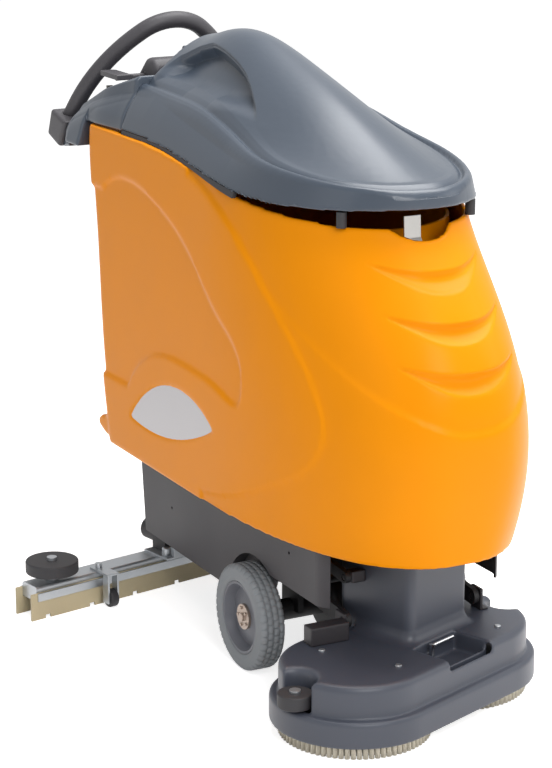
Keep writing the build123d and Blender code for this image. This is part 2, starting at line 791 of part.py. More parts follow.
def rim_cut():
    cut = above_curve(RIM_POINTS, RIM_REAR_Z + 200.0, TANK_LEVELS[-1][2] + 100.0)
    dip = ThreePointArc((-RIM_DIP_HALF, RIM_DIP_TOP), (0, RIM_DIP_Z), (RIM_DIP_HALF, RIM_DIP_TOP))
    chord = Line((RIM_DIP_HALF, RIM_DIP_TOP), (-RIM_DIP_HALF, RIM_DIP_TOP))
    return cut + front_prism(dip + chord, -500.0, TUB_FRONT_Y)


def wing_prism():
    reach = TANK_HALF_WIDTH * 2
    front = Spline(*WING_OUTLINE)
    first, last = WING_OUTLINE[0], WING_OUTLINE[-1]
    back = TANK_LEVELS[-1][2] + 100.0
    edge = Polyline(last, (last[0], TANK_BASE), (back, TANK_BASE), (back, RIM_REAR_Z + 60.0),
                    (first[0], RIM_REAR_Z + 60.0), first)
    return side_curve_prism(front + edge, -reach, reach)


def lobe_prism():
    reach = TANK_HALF_WIDTH * 2
    front = Spline(*LOBE_OUTLINE)
    first, last = LOBE_OUTLINE[0], LOBE_OUTLINE[-1]
    low, high = LOBE_REAR_Z
    edge = Polyline(last, (LOBE_REAR_Y, low), (LOBE_REAR_Y, high), first)
    return side_curve_prism(front + edge, -reach, reach)


def badge_curve(gap):
    """Almond of two arcs; gap draws the outline in."""
    (y0, z0), (ym, zm), (y1, z1) = BADGE_TOP_ARC
    yb, zb = BADGE_BOTTOM_MID
    left, right = (y0 - 2 * gap, z0), (y1 + 2 * gap, z1)
    return ThreePointArc(left, (ym, zm - gap), right) + ThreePointArc(right, (yb, zb + gap), left)


def crescent(upper, lower, half, rise):
    """Smile-shaped prism on the front: crease above, lip below, sharp ends."""
    left, right = (-half, upper + rise), (half, upper + rise)
    curve = ThreePointArc(left, (0, upper), right) + ThreePointArc(right, (0, lower), left)
    return front_prism(curve, -600.0, -100.0)


def apron_prism():
    """Everything under the apron's curved upper edge."""
    right = list(APRON_EDGE)
    left = [(-x, z) for x, z in reversed(APRON_EDGE[1:])]
    edge = left + right
    reach = TANK_HALF_WIDTH + 60.0
    top = APRON_EDGE[-1][1] + 60.0
    low = TANK_BASE - 20.0
    sides = Polyline(edge[-1], (reach, top), (reach, low), (-reach, low), (-reach, top), edge[0])
    return front_prism(Spline(*edge) + sides, -600.0, TANK_SIDE_END_Y)


def tank_core():
    """Hollow of the right half, above and below the floor and under the rear roof."""
    inset = PANEL_STEP + TANK_WALL
    reach = TANK_HALF_WIDTH * 2
    front, rear = TANK_LEVELS[0][1] * 2, TANK_LEVELS[-1][2] * 2
    slab = block((-reach, reach), (front, rear), (CHASSIS_TOP, CHASSIS_TOP + TANK_FLOOR_THICK))
    roof = block((-reach, reach), (TANK_ROOF_FRONT_Y, rear), (RIM_REAR_Z - TANK_ROOF_THICK, RIM_REAR_Z * 2))
    return tank_envelope(inset, inset) - slab - roof


def tank_half():
    """Right half of the tank body without its badge recess."""
    core = tank_core()
    body = tank_envelope(PANEL_STEP, PANEL_STEP) - core
    body += (tank_envelope(0.0, 0.0) & wing_prism()) - core
    body += (tank_envelope(PANEL_STEP - APRON_SIDE_STEP, 0.0) & apron_prism()) - core
    panel = tank_envelope(PANEL_STEP, PANEL_STEP)
    for upper, lower, half, rise in CRESCENTS:
        crease = Pos(0, tank_front(upper) + PANEL_STEP, upper)
        sunk = crease * Rot(CRESCENT_TILT, 0, 0) * crease.inverse() * panel
        body -= crescent(upper, lower, half, rise) - sunk
    body -= lobe_prism() - panel
    body -= rim_cut()
    half_tail = tank_half_width(TAIL_POINTS[0][1]) - TAIL_INSET
    body += side_prism(TAIL_POINTS, -half_tail, 0.0)
    baffle = (-BAFFLE_X - BAFFLE_THICK / 2, -BAFFLE_X + BAFFLE_THICK / 2)
    floor_top = CHASSIS_TOP + TANK_FLOOR_THICK
    return body + block(baffle, (BAFFLE_FRONT_Y, BAFFLE_REAR_Y), (floor_top, TUB_FLOOR))


def solution_tank():
    right = tank_half()
    left = mirror(right, about=Plane.YZ)
    recess = side_curve_prism(badge_curve(0.0), -TANK_HALF_WIDTH * 2, 0.0)
    right -= recess - tank_envelope(BADGE_DEPTH, BADGE_DEPTH)
    return right + left


def badge_plate():
    outer = tank_envelope(BADGE_DEPTH - BADGE_THICK, BADGE_DEPTH - BADGE_THICK)
    seat = tank_envelope(BADGE_DEPTH, BADGE_DEPTH)
    return (side_curve_prism(badge_curve(BADGE_EDGE_GAP), -TANK_HALF_WIDTH * 2, 0.0) & outer) - seat


def recovery_tub():
    """Open tub that follows the tank's inside and stands on its baffles."""
    def hollow(inset, bottom):
        faces = []
        for z in (bottom, TUB_TOP):
            half = tank_half_width(z) - PANEL_STEP - TANK_WALL - TUB_GAP - inset
            front, rear = TUB_FRONT_Y + inset, TUB_REAR_Y - inset
            faces.append(half_plan(z, half, front, rear, TANK_SIDE_END_Y, TUB_NOSE_POWER, TUB_CORNER_R))
        return loft(faces)

    return both_sides(hollow(0.0, TUB_FLOOR) - hollow(TUB_WALL, TUB_FLOOR + TUB_WALL))


# Lid


def lid_half_width(z):
    return LID_BEAD_HALF_WIDTH + LID_LEAN * (LID_BEAD_Z - z)


def lid_plan(inset):
    """Right half of the leaning plan that bounds the lid."""
    faces = []
    for z in (LID_PLAN_LOW, LID_PLAN_HIGH):
        half = lid_half_width(z) - inset
        tip, rear = LID_TIP_Y + inset, LID_REAR_Y - inset
        faces.append(half_plan(z, half, tip, rear, TANK_SIDE_END_Y, LID_NOSE_POWER, LID_CORNER_R))
    return loft(faces)


def lid_crest_width(y):
    reach = TANK_SIDE_END_Y - LID_TIP_Y
    lag = max(TANK_SIDE_END_Y - y, 0.0) / reach
    share = max(1 - lag ** LID_NOSE_POWER, 0.0) ** (1 / LID_NOSE_POWER)
    return max(LID_BEAD_HALF_WIDTH * share, LID_MIN_CREST)


def lid_dome(inset):
    """Right half of the dome, from the ridge out past the bead."""
    faces = []
    for y, bead, ridge in LID_STATIONS:
        w = lid_crest_width(y)
        crest = [(-w * s, bead + (ridge - bead) * f - inset) for s, f in LID_CROWN]
        crest.append((-LID_REACH, crest[-1][1]))
        outline = Spline(*crest, tangents=((-1, 0), (-1, 0)))
        outline += Polyline(crest[-1], (-LID_REACH, LID_PLAN_LOW - 50.0), (0, LID_PLAN_LOW - 50.0), crest[0])
        faces.append(Pos(0, y, 0) * (Plane.XZ * make_face(outline)))
    return loft(faces)


def lid_low_cut(lift):
    points = [(y, z + lift) for y, z in LID_LOW_POINTS]
    curve = Spline(*points)
    first, last = points[0], points[-1]
    edge = Polyline(last, (last[0], 700.0), (700.0, 700.0), (700.0, first[1]), first)
    return side_curve_prism(curve + edge, -400.0, 400.0)


def lid():
    half = lid_plan(0.0) & lid_dome(0.0)
    half -= lid_plan(LID_WALL) & lid_dome(LID_WALL)
    half -= lid_low_cut(0.0)
    half += lid_tab()
    return both_sides(half - hinge_bore())


def lid_tab():
    outer = -HINGE_ARM_X - HINGE_ARM_WIDTH - SIDE_GAP
    x = (outer - HINGE_TAB_WIDTH, outer)
    eye = rod_x(HINGE_Y, HINGE_Z, HINGE_EYE_R, x[0], x[1])
    return eye + block(x, (LID_REAR_Y - 1.0, HINGE_Y), (HINGE_Z - HINGE_EYE_R, HINGE_Z))


def hinge_bore():
    return rod_x(HINGE_Y, HINGE_Z, HINGE_PIN_R + RUN_FIT, -100.0, 100.0)


def lid_gasket():
    """Strip under the sides of the lid that lies on the tank's rim."""
    ring = lid_plan(GASKET_INSET) - lid_plan(GASKET_INSET + GASKET_WIDTH)
    seat = [(y, z + SKIN_GAP) for y, z in RIM_POINTS]
    band = lid_low_cut(0.0) & above_curve(seat, LID_PLAN_HIGH, LID_REAR_Y)
    reach = TANK_HALF_WIDTH * 2
    sides = block((-reach, 0.0), (GASKET_FRONT_Y, LID_REAR_Y - LID_CORNER_R), (LID_PLAN_LOW, LID_PLAN_HIGH))
    right = ring & band & sides
    return [right, mirror(right, about=Plane.YZ)]


def lid_hinge(console_solid):
    """Two arms on the console and the pin that they hold."""
    x = (-HINGE_ARM_X - HINGE_ARM_WIDTH, -HINGE_ARM_X)
    front = HINGE_Y - HINGE_EYE_R / 2
    arm = block(x, (front, HINGE_Y + HINGE_ARM_DEPTH), (CONSOLE_SEAT_Z, HINGE_Z))
    arm += rod_x(HINGE_Y, HINGE_Z, HINGE_EYE_R, x[0], x[1])
    arm = arm - hinge_pin() - console_solid
    arm = arm.solids().sort_by(Axis.Z)[-1]
    return [arm, mirror(arm, about=Plane.YZ), hinge_pin()]


def hinge_pin():
    end = HINGE_ARM_X + HINGE_ARM_WIDTH + SIDE_GAP + HINGE_TAB_WIDTH + HINGE_PIN_END
    return rod_x(HINGE_Y, HINGE_Z, HINGE_PIN_R, -end, end)


# Console, handle and controls


def console_loft(inset, bottom):
    """Crowned shell of the console between its stations: top, shoulder, side bead and wall."""
    faces = []
    for y, bead, top in CONSOLE_STATIONS:
        right = (
            (-CONSOLE_HALF_WIDTH + inset, bottom),
            (-CONSOLE_HALF_WIDTH + inset, bead - CONSOLE_BEAD_DROP - inset),
            (-CONSOLE_BEAD_HALF + inset, bead - inset),
            (-CONSOLE_TOP_HALF + inset, top - inset),
        )
        left = [(-x, z) for x, z in reversed(right)]
        faces.append(Pos(0, y, 0) * (Plane.XZ * make_face(Polyline(*right, *left, close=True))))
    return loft(faces, ruled=True)


def console():
    half, wall, back = CONSOLE_HALF_WIDTH, CONSOLE_WALL, CONSOLE_REAR_WALL_Y
    front, rear = CONSOLE_STATIONS[0][0], CONSOLE_STATIONS[-1][0]
    under = CONSOLE_UNDER_Z - 4 * wall
    tail = ((back, CONSOLE_UNDER_Z), CONSOLE_REAR_LOW, CONSOLE_REAR_TOP, (back, CONSOLE_REAR_TOP[1]))
    outer = console_loft(0.0, CONSOLE_UNDER_Z) + side_prism(tail, wall - half, half - wall)
    hollow = console_loft(wall, under) & block((-half, half), (front + wall, rear - wall), (under, HINGE_Z))
    hollow -= block((-half, half), (front, back + wall), (under, CONSOLE_SEAT_Z))
    body = outer - hollow - block((-half, half), (front, back), (under, CONSOLE_SEAT_Z))
    rib = (-CONSOLE_RIB_X - CONSOLE_RIB / 2, -CONSOLE_RIB_X + CONSOLE_RIB / 2)
    body += both_sides(block(rib, CONSOLE_RIB_Y, (RIM_REAR_Z, CONSOLE_STATIONS[1][2] - wall / 2)))
    body -= console_face() * Pos(STOP_X, 0, 0) * Cylinder(STOP_STEM_R + RUN_FIT, 4 * wall)
    return body - console_face() * Pos(KEY_X, 0, 0) * Cylinder(KEY_STEM_R + RUN_FIT, 4 * wall)


def slope_plane(lower, upper):
    """Plane on a slope between two (Y, Z) points, X to the left, its normal up."""
    (y0, z0), (y1, z1) = lower, upper
    along = Vector(0, y1 - y0, z1 - z0).normalized()
    return Plane(origin=(0, (y0 + y1) / 2, (z0 + z1) / 2), x_dir=(1, 0, 0), z_dir=(0, -along.Z, along.Y))


def console_face():
    (y0, _, z0), (y1, _, z1) = CONSOLE_STATIONS[1:3]
    return slope_plane((y0, z0), (y1, z1))


def pod_face():
    return slope_plane(POD_PROFILE[3], POD_PROFILE[4])


def handle_beam():
    profile = (CONSOLE_REAR_TOP, BEAM_REAR_TOP, BEAM_REAR_LOW, CONSOLE_REAR_LOW)
    beam = side_prism(profile, -BEAM_HALF_WIDTH, BEAM_HALF_WIDTH)
    ends = beam.faces().filter_by(Axis.X).edges()
    beam = chamfer(ends, BEAM_CHAMFER)
    return beam - hoop()


def hoop_plane():
    lean = hypot(1.0, HOOP_LEAN)
    up = Vector(0, -HOOP_LEAN / lean, 1.0 / lean)
    return Plane(origin=(0, HOOP_FOOT_Y, HOOP_FOOT_Z), x_dir=(1, 0, 0), z_dir=Vector(1, 0, 0).cross(up))


def hoop():
    half = radians(HOOP_TOP_HALF_ANGLE)
    centre = HOOP_HEIGHT - HOOP_TOP_R
    right = (-HOOP_TOP_R * sin(half), centre + HOOP_TOP_R * cos(half))
    top = ThreePointArc(right, (0, HOOP_HEIGHT), (-right[0], right[1]))
    left_arc = TangentArc((-right[0], right[1]), (HOOP_FOOT_X, 0), tangent=(cos(half), -sin(half)))
    foot = left_arc % 1
    end = (HOOP_FOOT_X + foot.X * HOOP_SOCKET, foot.Y * HOOP_SOCKET)
    half_path = left_arc + Line((HOOP_FOOT_X, 0), end)
    path = top + half_path + mirror(half_path, about=Plane.YZ)
    path = hoop_plane() * path
    wire = Wire(path.edges())
    start = wire @ 0
    section = Plane(origin=start, z_dir=wire % 0) * Circle(HOOP_D / 2)
    return sweep(section, path=wire)


def pod(console_solid):
    body = side_prism(POD_PROFILE, -POD_HALF_WIDTH, POD_HALF_WIDTH)
    upper = [e for e in body.edges() if e.center().Z > POD_PROFILE[4][1] + POD_EDGE_R]
    body = fillet(upper, POD_EDGE_R) - console_solid
    body = Part(max(body.solids(), key=lambda piece: piece.volume).wrapped)
    body -= rod_x(PADDLE_Y, PADDLE_Z, PADDLE_SHAFT_R + RUN_FIT, -POD_HALF_WIDTH, POD_HALF_WIDTH)
    for side in (-1, 1):
        well = BUTTON_SUNK + BUTTON_TRAVEL + SIDE_GAP
        body -= pod_face() * Pos(side * BUTTON_X, 0, -well / 2) * Cylinder(BUTTON_R + RUN_FIT, well)
    return body


def lens():
    face = Rectangle(LENS_WIDTH, LENS_LENGTH)
    return pod_face() * extrude(fillet(face.vertices(), LENS_CORNER_R), LENS_THICK)


def button(side):
    cap = Cylinder(BUTTON_R, BUTTON_PROUD + BUTTON_SUNK)
    cap = fillet(cap.edges().group_by(Axis.Z)[-1], BUTTON_EDGE_R)
    return pod_face() * Pos(side * BUTTON_X, 0, (BUTTON_PROUD - BUTTON_SUNK) / 2) * cap


def stop_button():
    """Mushroom head on a stem that slides through the console's skin."""
    low = STOP_TRAVEL + SKIN_GAP
    head = Pos(0, 0, low + STOP_HEAD / 2) * Cylinder(STOP_R, STOP_HEAD)
    head = fillet(head.edges().group_by(Axis.Z)[-1], STOP_HEAD / 2)
    stem_low = -CONSOLE_WALL - STOP_TRAVEL
    stem = Pos(0, 0, (stem_low + low) / 2) * Cylinder(STOP_STEM_R, low - stem_low)
    return console_face() * Pos(STOP_X, 0, 0) * (head + stem)


def key_switch():
    """Barrel that turns on the console, with the key's bow standing in it."""
    barrel = Pos(0, 0, SKIN_GAP + KEY_HEIGHT / 2) * Cylinder(KEY_R, KEY_HEIGHT)
    stem = Pos(0, 0, (SKIN_GAP - 2 * CONSOLE_WALL) / 2) * Cylinder(KEY_STEM_R, 2 * CONSOLE_WALL + SKIN_GAP)
    bow = Pos(0, 0, KEY_HEIGHT + KEY_BOW / 2) * Box(KEY_BOW, KEY_BLADE, KEY_BOW)
    return console_face() * Pos(KEY_X, 0, 0) * (barrel + stem + bow)


def drive_paddle():
    """Shaft through the pod with a thumb blade on each end."""
    shaft = rod_x(PADDLE_Y, PADDLE_Z, PADDLE_SHAFT_R, -PADDLE_HALF_WIDTH, PADDLE_HALF_WIDTH)
    y = (PADDLE_Y - PADDLE_SHAFT_R, PADDLE_Y + PADDLE_LENGTH)
    z = (PADDLE_Z - PADDLE_THICK / 2, PADDLE_Z + PADDLE_THICK / 2)
    blade_plate = block((-PADDLE_HALF_WIDTH, PADDLE_BLADE - PADDLE_HALF_WIDTH), y, z)
    blade_plate = fillet(blade_plate.edges().filter_by(Axis.Z).group_by(Axis.Y)[-1], PADDLE_THICK)
    return shaft + both_sides(blade_plate)


# Brush deck


def stadium(r, z0, z1):
    return extrude(Pos(0, 0, z0) * SlotCenterToCenter(BRUSH_PITCH, 2 * r), z1 - z0)


def tower(inset, bottom, top):
    (u0, u1), (w0, w1) = TOWER_U, TOWER_W
    plan = Rectangle(u1 - u0 - 2 * inset, w1 - w0 - 2 * inset)
    plan = fillet(plan.vertices(), TOWER_CORNER_R - inset)
    return extrude(Pos((u0 + u1) / 2, (w0 + w1) / 2, bottom) * plan, top - bottom)


def roller_spots():
    """The rollers stand on opposite corners: the deck is the same turned half round."""
    return ((-ROLLER_U, ROLLER_W), (ROLLER_U, -ROLLER_W))


def niches(grow):
    cuts = [rod_z(u, w, ROLLER_R + ROLLER_NICHE_GAP + grow, LEDGE_Z, DOME_TOP + 1.0) for u, w in roller_spots()]
    return cuts[0] + cuts[1]


def tower_flare():
    """Sloped foot that runs the tower's front and sides out onto the dome."""
    (u0, u1), (w0, w1) = TOWER_U, TOWER_W
    rings = []
    for grow, rise in TOWER_FLARE:
        plan = Rectangle(u1 - u0 + 2 * grow, w1 - w0 + 2 * grow)
        plan = fillet(plan.vertices(), TOWER_CORNER_R + grow)
        rings.append(Pos((u0 + u1) / 2, (w0 + w1) / 2, DOME_TOP + rise) * plan)
    flare = loft(rings, ruled=True)
    return flare & block((-BRUSH_PITCH, BRUSH_PITCH), (-DOME_R, TOWER_FLARE_REAR_W), (0.0, TOWER_TOP))


def deck_outer():
    skirt = stadium(SKIRT_R, SKIRT_BOTTOM, LEDGE_Z)
    skirt = fillet(skirt.edges().group_by(Axis.Z)[-1], SKIRT_EDGE_R)
    dome = stadium(DOME_R, LEDGE_Z - SKIRT_EDGE_R, DOME_TOP) - niches(0.0)
    dome = fillet(dome.edges().group_by(Axis.Z)[-1], DOME_EDGE_R)
    return skirt + dome + tower(0.0, LEDGE_Z - DECK_WALL, TOWER_TOP) + tower_flare()


def deck_inner():
    skirt = stadium(SKIRT_R - DECK_WALL, SKIRT_BOTTOM - 1.0, LEDGE_Z - DECK_WALL)
    dome = stadium(DOME_R - DECK_WALL, LEDGE_Z - DECK_WALL, DOME_TOP - DECK_WALL) - niches(DECK_WALL)
    return skirt + dome + tower(DECK_WALL, LEDGE_Z, TOWER_TOP - DECK_WALL)


def pocket(grow, floor):
    u0, u1 = POCKET_U
    return block((u0 - grow, u1 + grow), (POCKET_BACK_W - grow, POCKET_W[1] + grow), (floor, DOME_TOP + 1.0))


def pocket_mouth():
    return block(POCKET_U, POCKET_W, (POCKET_SILL, DOME_TOP + 1.0))


def deck_cover():
    shell = deck_outer() - deck_inner()
    bosses = [rod_z(u, 0, SPINDLE_BOSS_R, SPINDLE_BOSS_Z, DOME_TOP - 1.0) for u in brush_spots()]
    shell += bosses[0] + bosses[1]
    shell += pocket(DECK_WALL, POCKET_FLOOR - DECK_WALL) & (deck_outer() + deck_inner())
    shell -= pocket(0.0, POCKET_FLOOR)
    shell -= pocket_mouth()
    shell += release_lugs()
    for u in brush_spots():
        shell -= rod_z(u, 0, SPINDLE_R + RUN_FIT, SPINDLE_BOSS_Z, SPINDLE_TOP + 1.0)
    return deck_place(shell)


def brush_spots():
    return (-BRUSH_PITCH / 2, BRUSH_PITCH / 2)


def brush_plate(u):
    low = BRISTLE_LENGTH + BRISTLE_SLICE
    top = low + BRUSH_PLATE_THICK
    plate = rod_z(u, 0, BRUSH_R - 2.0, low, top)
    plate += rod_z(u, 0, PULLEY_R * 0.6, top, PULLEY_Z[0])
    rim_plate = rod_z(u, 0, PULLEY_R, PULLEY_Z[0], PULLEY_Z[1])
    groove = rod_z(u, 0, PULLEY_R, BELT_Z[0], BELT_Z[1]) - rod_z(u, 0, PULLEY_R - 4.0, BELT_Z[0], BELT_Z[1])
    plate += rim_plate - groove
    return deck_place(plate + rod_z(u, 0, SPINDLE_R, PULLEY_Z[1], SPINDLE_TOP))


def bristles(u):
    """Tufts in rings, fused to a slice of the brush's backing."""
    top = BRISTLE_LENGTH + BRISTLE_SLICE
    tufts = []
    half = BRISTLE_SIZE / 2
    for r, count in BRISTLE_RINGS:
        for i in range(count):
            turn = Rot(0, 0, 360.0 * i / count)
            tufts.append(turn * block((r - half, r + half), (-half, half), (0.0, BRISTLE_LENGTH + 1.0)))
    slice_disc = rod_z(0, 0, BRUSH_R - 2.0, BRISTLE_LENGTH, top)
    return deck_place(Pos(u, 0, 0) * slice_disc.fuse(*tufts))


def belt():
    def loop(grow, z):
        ends = [Pos(u, 0) * Circle(PULLEY_R - 4.0 + grow) for u in brush_spots()]
        ends.append(Pos(MOTOR_U, MOTOR_W) * Circle(MOTOR_PULLEY_R + grow))
        outline = make_hull(ends[0].edges() + ends[1].edges() + ends[2].edges())
        return extrude(Pos(0, 0, z[0]) * outline, z[1] - z[0])

    low, high = BELT_Z
    z = (low + SKIN_GAP, high - SKIN_GAP)
    return deck_place(loop(SKIN_GAP + BELT_THICK - 1.0, z) - loop(SKIN_GAP, z))


def brush_motor():
    body = rod_z(MOTOR_U, MOTOR_W, MOTOR_R, MOTOR_BOTTOM, MOTOR_TOP)
    body = fillet(body.edges().group_by(Axis.Z)[-1], 8.0)
    seat = rod_z(MOTOR_U, MOTOR_W, MOTOR_R - 4.0, DOME_TOP - 2 * DECK_WALL, MOTOR_BOTTOM)
    bore = rod_z(MOTOR_U, MOTOR_W, MOTOR_SHAFT_R + RUN_FIT, DOME_TOP - 2 * DECK_WALL, MOTOR_BOTTOM + 20.0)
    flange = tower(DECK_WALL, DOME_TOP - 2 * DECK_WALL, DOME_TOP - DECK_WALL)
    flange -= rod_z(brush_spots()[1], 0, SPINDLE_BOSS_R + SIDE_GAP, 0.0, DOME_TOP)
    return deck_place(body + seat + flange - bore)


def motor_pulley():
    wheel = rod_z(MOTOR_U, MOTOR_W, MOTOR_PULLEY_R, BELT_Z[0], BELT_Z[1])
    for z in (PULLEY_Z[0], BELT_Z[1]):
        wheel += rod_z(MOTOR_U, MOTOR_W, MOTOR_PULLEY_R + 4.0, z, z + BELT_Z[0] - PULLEY_Z[0])
    return deck_place(wheel + rod_z(MOTOR_U, MOTOR_W, MOTOR_SHAFT_R, PULLEY_Z[1], MOTOR_BOTTOM + 18.0))


def deck_roller(u, w):
    bottom = ROLLER_BOTTOM
    wheel = rod_z(u, w, ROLLER_R, bottom, bottom + ROLLER_HEIGHT)
    wheel = fillet(wheel.edges(), 3.0)
    return deck_place(wheel - rod_z(u, w, ROLLER_BOLT_R + RUN_FIT, bottom - 1.0, bottom + ROLLER_HEIGHT + 1.0))


def roller_bolts():
    bolts = []
    top = ROLLER_BOTTOM + ROLLER_HEIGHT + SKIN_GAP
    for u, w in roller_spots():
        bolt = rod_z(u, w, ROLLER_BOLT_R, ROLLER_BOTTOM - SKIN_GAP, top)
        bolt += rod_z(u, w, ROLLER_HEAD_R, LEDGE_Z, ROLLER_BOTTOM - SKIN_GAP)
        bolts.append(deck_place(bolt + rod_z(u, w, ROLLER_HEAD_R, top, top + ROLLER_HEAD_HEIGHT)))
    return bolts


def deck_screws():
    heads = []
    for u, w in DECK_SCREWS:
        head = rod_z(u, w, DECK_SCREW_R, DOME_TOP, DOME_TOP + DECK_SCREW_HEAD)
        heads.append(deck_place(fillet(head.edges().group_by(Axis.Z)[-1], 1.5)))
    return heads


def release_lever():
    """Bent rod on a pin in the front pocket."""
    axis_z = POCKET_FLOOR + RELEASE_AXIS
    z = axis_z + RELEASE_RISE
    half = RELEASE_HALF
    bar = rod_x(RELEASE_W, z, RELEASE_HALF, RELEASE_U, RELEASE_U + RELEASE_LENGTH)
    arm = block((RELEASE_U - half, RELEASE_U + half), (RELEASE_W - half, RELEASE_W + half), (axis_z, z + half))
    eye = rod_y(RELEASE_U, axis_z, RELEASE_EYE_R, RELEASE_W - half, RELEASE_W + half)
    bore = rod_y(RELEASE_U, axis_z, RELEASE_PIN_R + RUN_FIT, RELEASE_W - half, RELEASE_W + half)
    return deck_place(bar + arm + eye - bore)


def release_lugs():
    """Lugs in the pocket that hold the release lever's pin."""
    lugs = []
    heights = (POCKET_FLOOR - 1.0, POCKET_FLOOR + RELEASE_AXIS + RELEASE_EYE_R)
    for w in (RELEASE_W - RELEASE_HALF - SIDE_GAP - RELEASE_LUG, RELEASE_W + RELEASE_HALF + SIDE_GAP):
        u = (RELEASE_U - RELEASE_EYE_R, RELEASE_U + RELEASE_EYE_R)
        lugs.append(block(u, (w, w + RELEASE_LUG), heights))
    reach = RELEASE_HALF + SIDE_GAP + RELEASE_LUG
    pin = rod_y(RELEASE_U, POCKET_FLOOR + RELEASE_AXIS, RELEASE_PIN_R, RELEASE_W - reach, RELEASE_W + reach)
    return lugs[0] + lugs[1] + pin


# Deck lift


def link_plate(x, y0, z0, y1, z1, r, thick):
    """Flat bar with round ends between two axes along X."""
    run = hypot(y1 - y0, z1 - z0)
    flat = SlotCenterToCenter(run, 2 * r)
    bar = extrude(flat, thick / 2, both=True)
    middle = (x, (y0 + y1) / 2, (z0 + z1) / 2)
    along = (0, (y1 - y0) / run, (z1 - z0) / run)
    place = Plane(origin=middle, x_dir=along, z_dir=(1, 0, 0))
    return place * bar


def deck_arms():
    ends = (LIFT_AXIS_Y, LIFT_AXIS_Z, DECK_AXIS_Y, DECK_AXIS_Z)
    arms = link_plate(ARM_RIGHT_X, *ends, ARM_R, ARM_THICK) + link_plate(ARM_LEFT_X, *ends, ARM_R, ARM_THICK)
    arms += rod_x(LIFT_AXIS_Y, LIFT_AXIS_Z, LIFT_SHAFT_R, ARM_RIGHT_X, ARM_LEFT_X)
    return arms - rod_x(DECK_AXIS_Y, DECK_AXIS_Z, DECK_PIN_R + RUN_FIT, -300.0, 300.0)


def deck_ears(cover):
    ears = []
    z = (DOME_TOP, DECK_AXIS_Z + EAR_HALF)
    y = (DECK_AXIS_Y - EAR_HALF, DECK_AXIS_Y + EAR_HALF)
    for x, side in ((ARM_RIGHT_X, -1), (ARM_LEFT_X, 1)):
        near = x + side * (ARM_THICK / 2 + SIDE_GAP)
        far = near + side * EAR_THICK
        plate = block((min(near, far), max(near, far)), y, z)
        foot_end = far + side * 12.0
        plate += block((min(near, foot_end), max(near, foot_end)), y, (DOME_TOP, DOME_TOP + 4.0))
        if side < 0:
            plate += block(RIGHT_BRACKET_X, RIGHT_BRACKET_Y, (DOME_TOP, DOME_TOP + RIGHT_BRACKET_HEIGHT))
        inner = x - side * ARM_THICK / 2
        ears.append(plate + rod_x(DECK_AXIS_Y, DECK_AXIS_Z, DECK_PIN_R, min(inner, far), max(inner, far)))
    link_z = DECK_AXIS_Z + LINK_RISE
    near = LINK_X + LINK_THICK / 2 + SIDE_GAP
    reach = (near, near + LINK_BRACKET)
    depth = (DECK_AXIS_Y - LINK_R, DECK_AXIS_Y + LINK_R)
    bracket = block(reach, depth, (link_z - LINK_R, link_z + LINK_R)) - cover
    bracket = bracket.solids().sort_by(Axis.X)[0]
    pin = rod_x(DECK_AXIS_Y, link_z, LINK_PIN_R, LINK_X - LINK_THICK / 2, near + 5.0)
    ears.append(Part(bracket.wrapped) + pin)
    return ears


def upper_link():
    z0, z1 = LIFT_AXIS_Z + LINK_RISE, DECK_AXIS_Z + LINK_RISE
    link = link_plate(LINK_X, LIFT_AXIS_Y, z0, DECK_AXIS_Y, z1, LINK_R, LINK_THICK)
    link -= rod_x(LIFT_AXIS_Y, z0, LINK_PIN_R + RUN_FIT, -300.0, 300.0)
    return link - rod_x(DECK_AXIS_Y, z1, LINK_PIN_R + LINK_OPEN_GAP, -300.0, 300.0)


# Squeegee and its lift


def lift_frame():
    top = FRAME_PIVOT_Z + FRAME_BAR_HEIGHT / 2
    bottom = FRAME_PIVOT_Z - FRAME_BAR_HEIGHT / 2
    rail_top = RAIL_Z + RAIL_THICK
    end_y = RAIL_CENTRE_Y + sqrt(RAIL_R_IN ** 2 - FRAME_BAR_X ** 2) + 24.0
    start = FRAME_PIVOT_Y - FRAME_BAR_HEIGHT / 2
    points = ((start, bottom), (start, top), (FRAME_PIVOT_Y + 20.0, top), (end_y, rail_top + FRAME_BAR_HEIGHT),
              (end_y, rail_top), (end_y - 30.0, rail_top), (FRAME_PIVOT_Y + 20.0, bottom))
    bars = both_sides(side_prism(points, -FRAME_BAR_X - FRAME_BAR_WIDTH, -FRAME_BAR_X))
    inner_half = CHASSIS_HALF_WIDTH - CHASSIS_WALL
    pins = both_sides(rod_x(FRAME_PIVOT_Y, FRAME_PIVOT_Z, FRAME_PIN_R, -inner_half + SIDE_GAP, -FRAME_BAR_X))
    ring = rod_z(0, RAIL_CENTRE_Y, RAIL_R_OUT, RAIL_Z, rail_top)
    ring -= rod_z(0, RAIL_CENTRE_Y, RAIL_R_IN, RAIL_Z, rail_top)
    half = FRAME_BAR_X + FRAME_BAR_WIDTH
    rail = ring & block((-half, half), (0.0, 600.0), (RAIL_Z, rail_top))
    return bars + pins + rail


def squeegee_body():
    half, deep = BODY_HALF, BODY_HALF_DEPTH
    channel = block((-half, half), (-deep, deep), (BODY_BOTTOM, BODY_TOP))
    channel = fillet(channel.edges().filter_by(Axis.X).group_by(Axis.Z)[-1], 5.0)
    inside = half - BODY_WALL, deep - BODY_WALL
    hollow = (BODY_BOTTOM - 1.0, BODY_TOP - BODY_WALL)
    channel -= block((-inside[0], inside[0]), (-inside[1], inside[1]), hollow)
    return squeegee_place(channel - rod_z(0, 0, ELBOW_BORE_R, BODY_BOTTOM, BODY_TOP + 1.0))


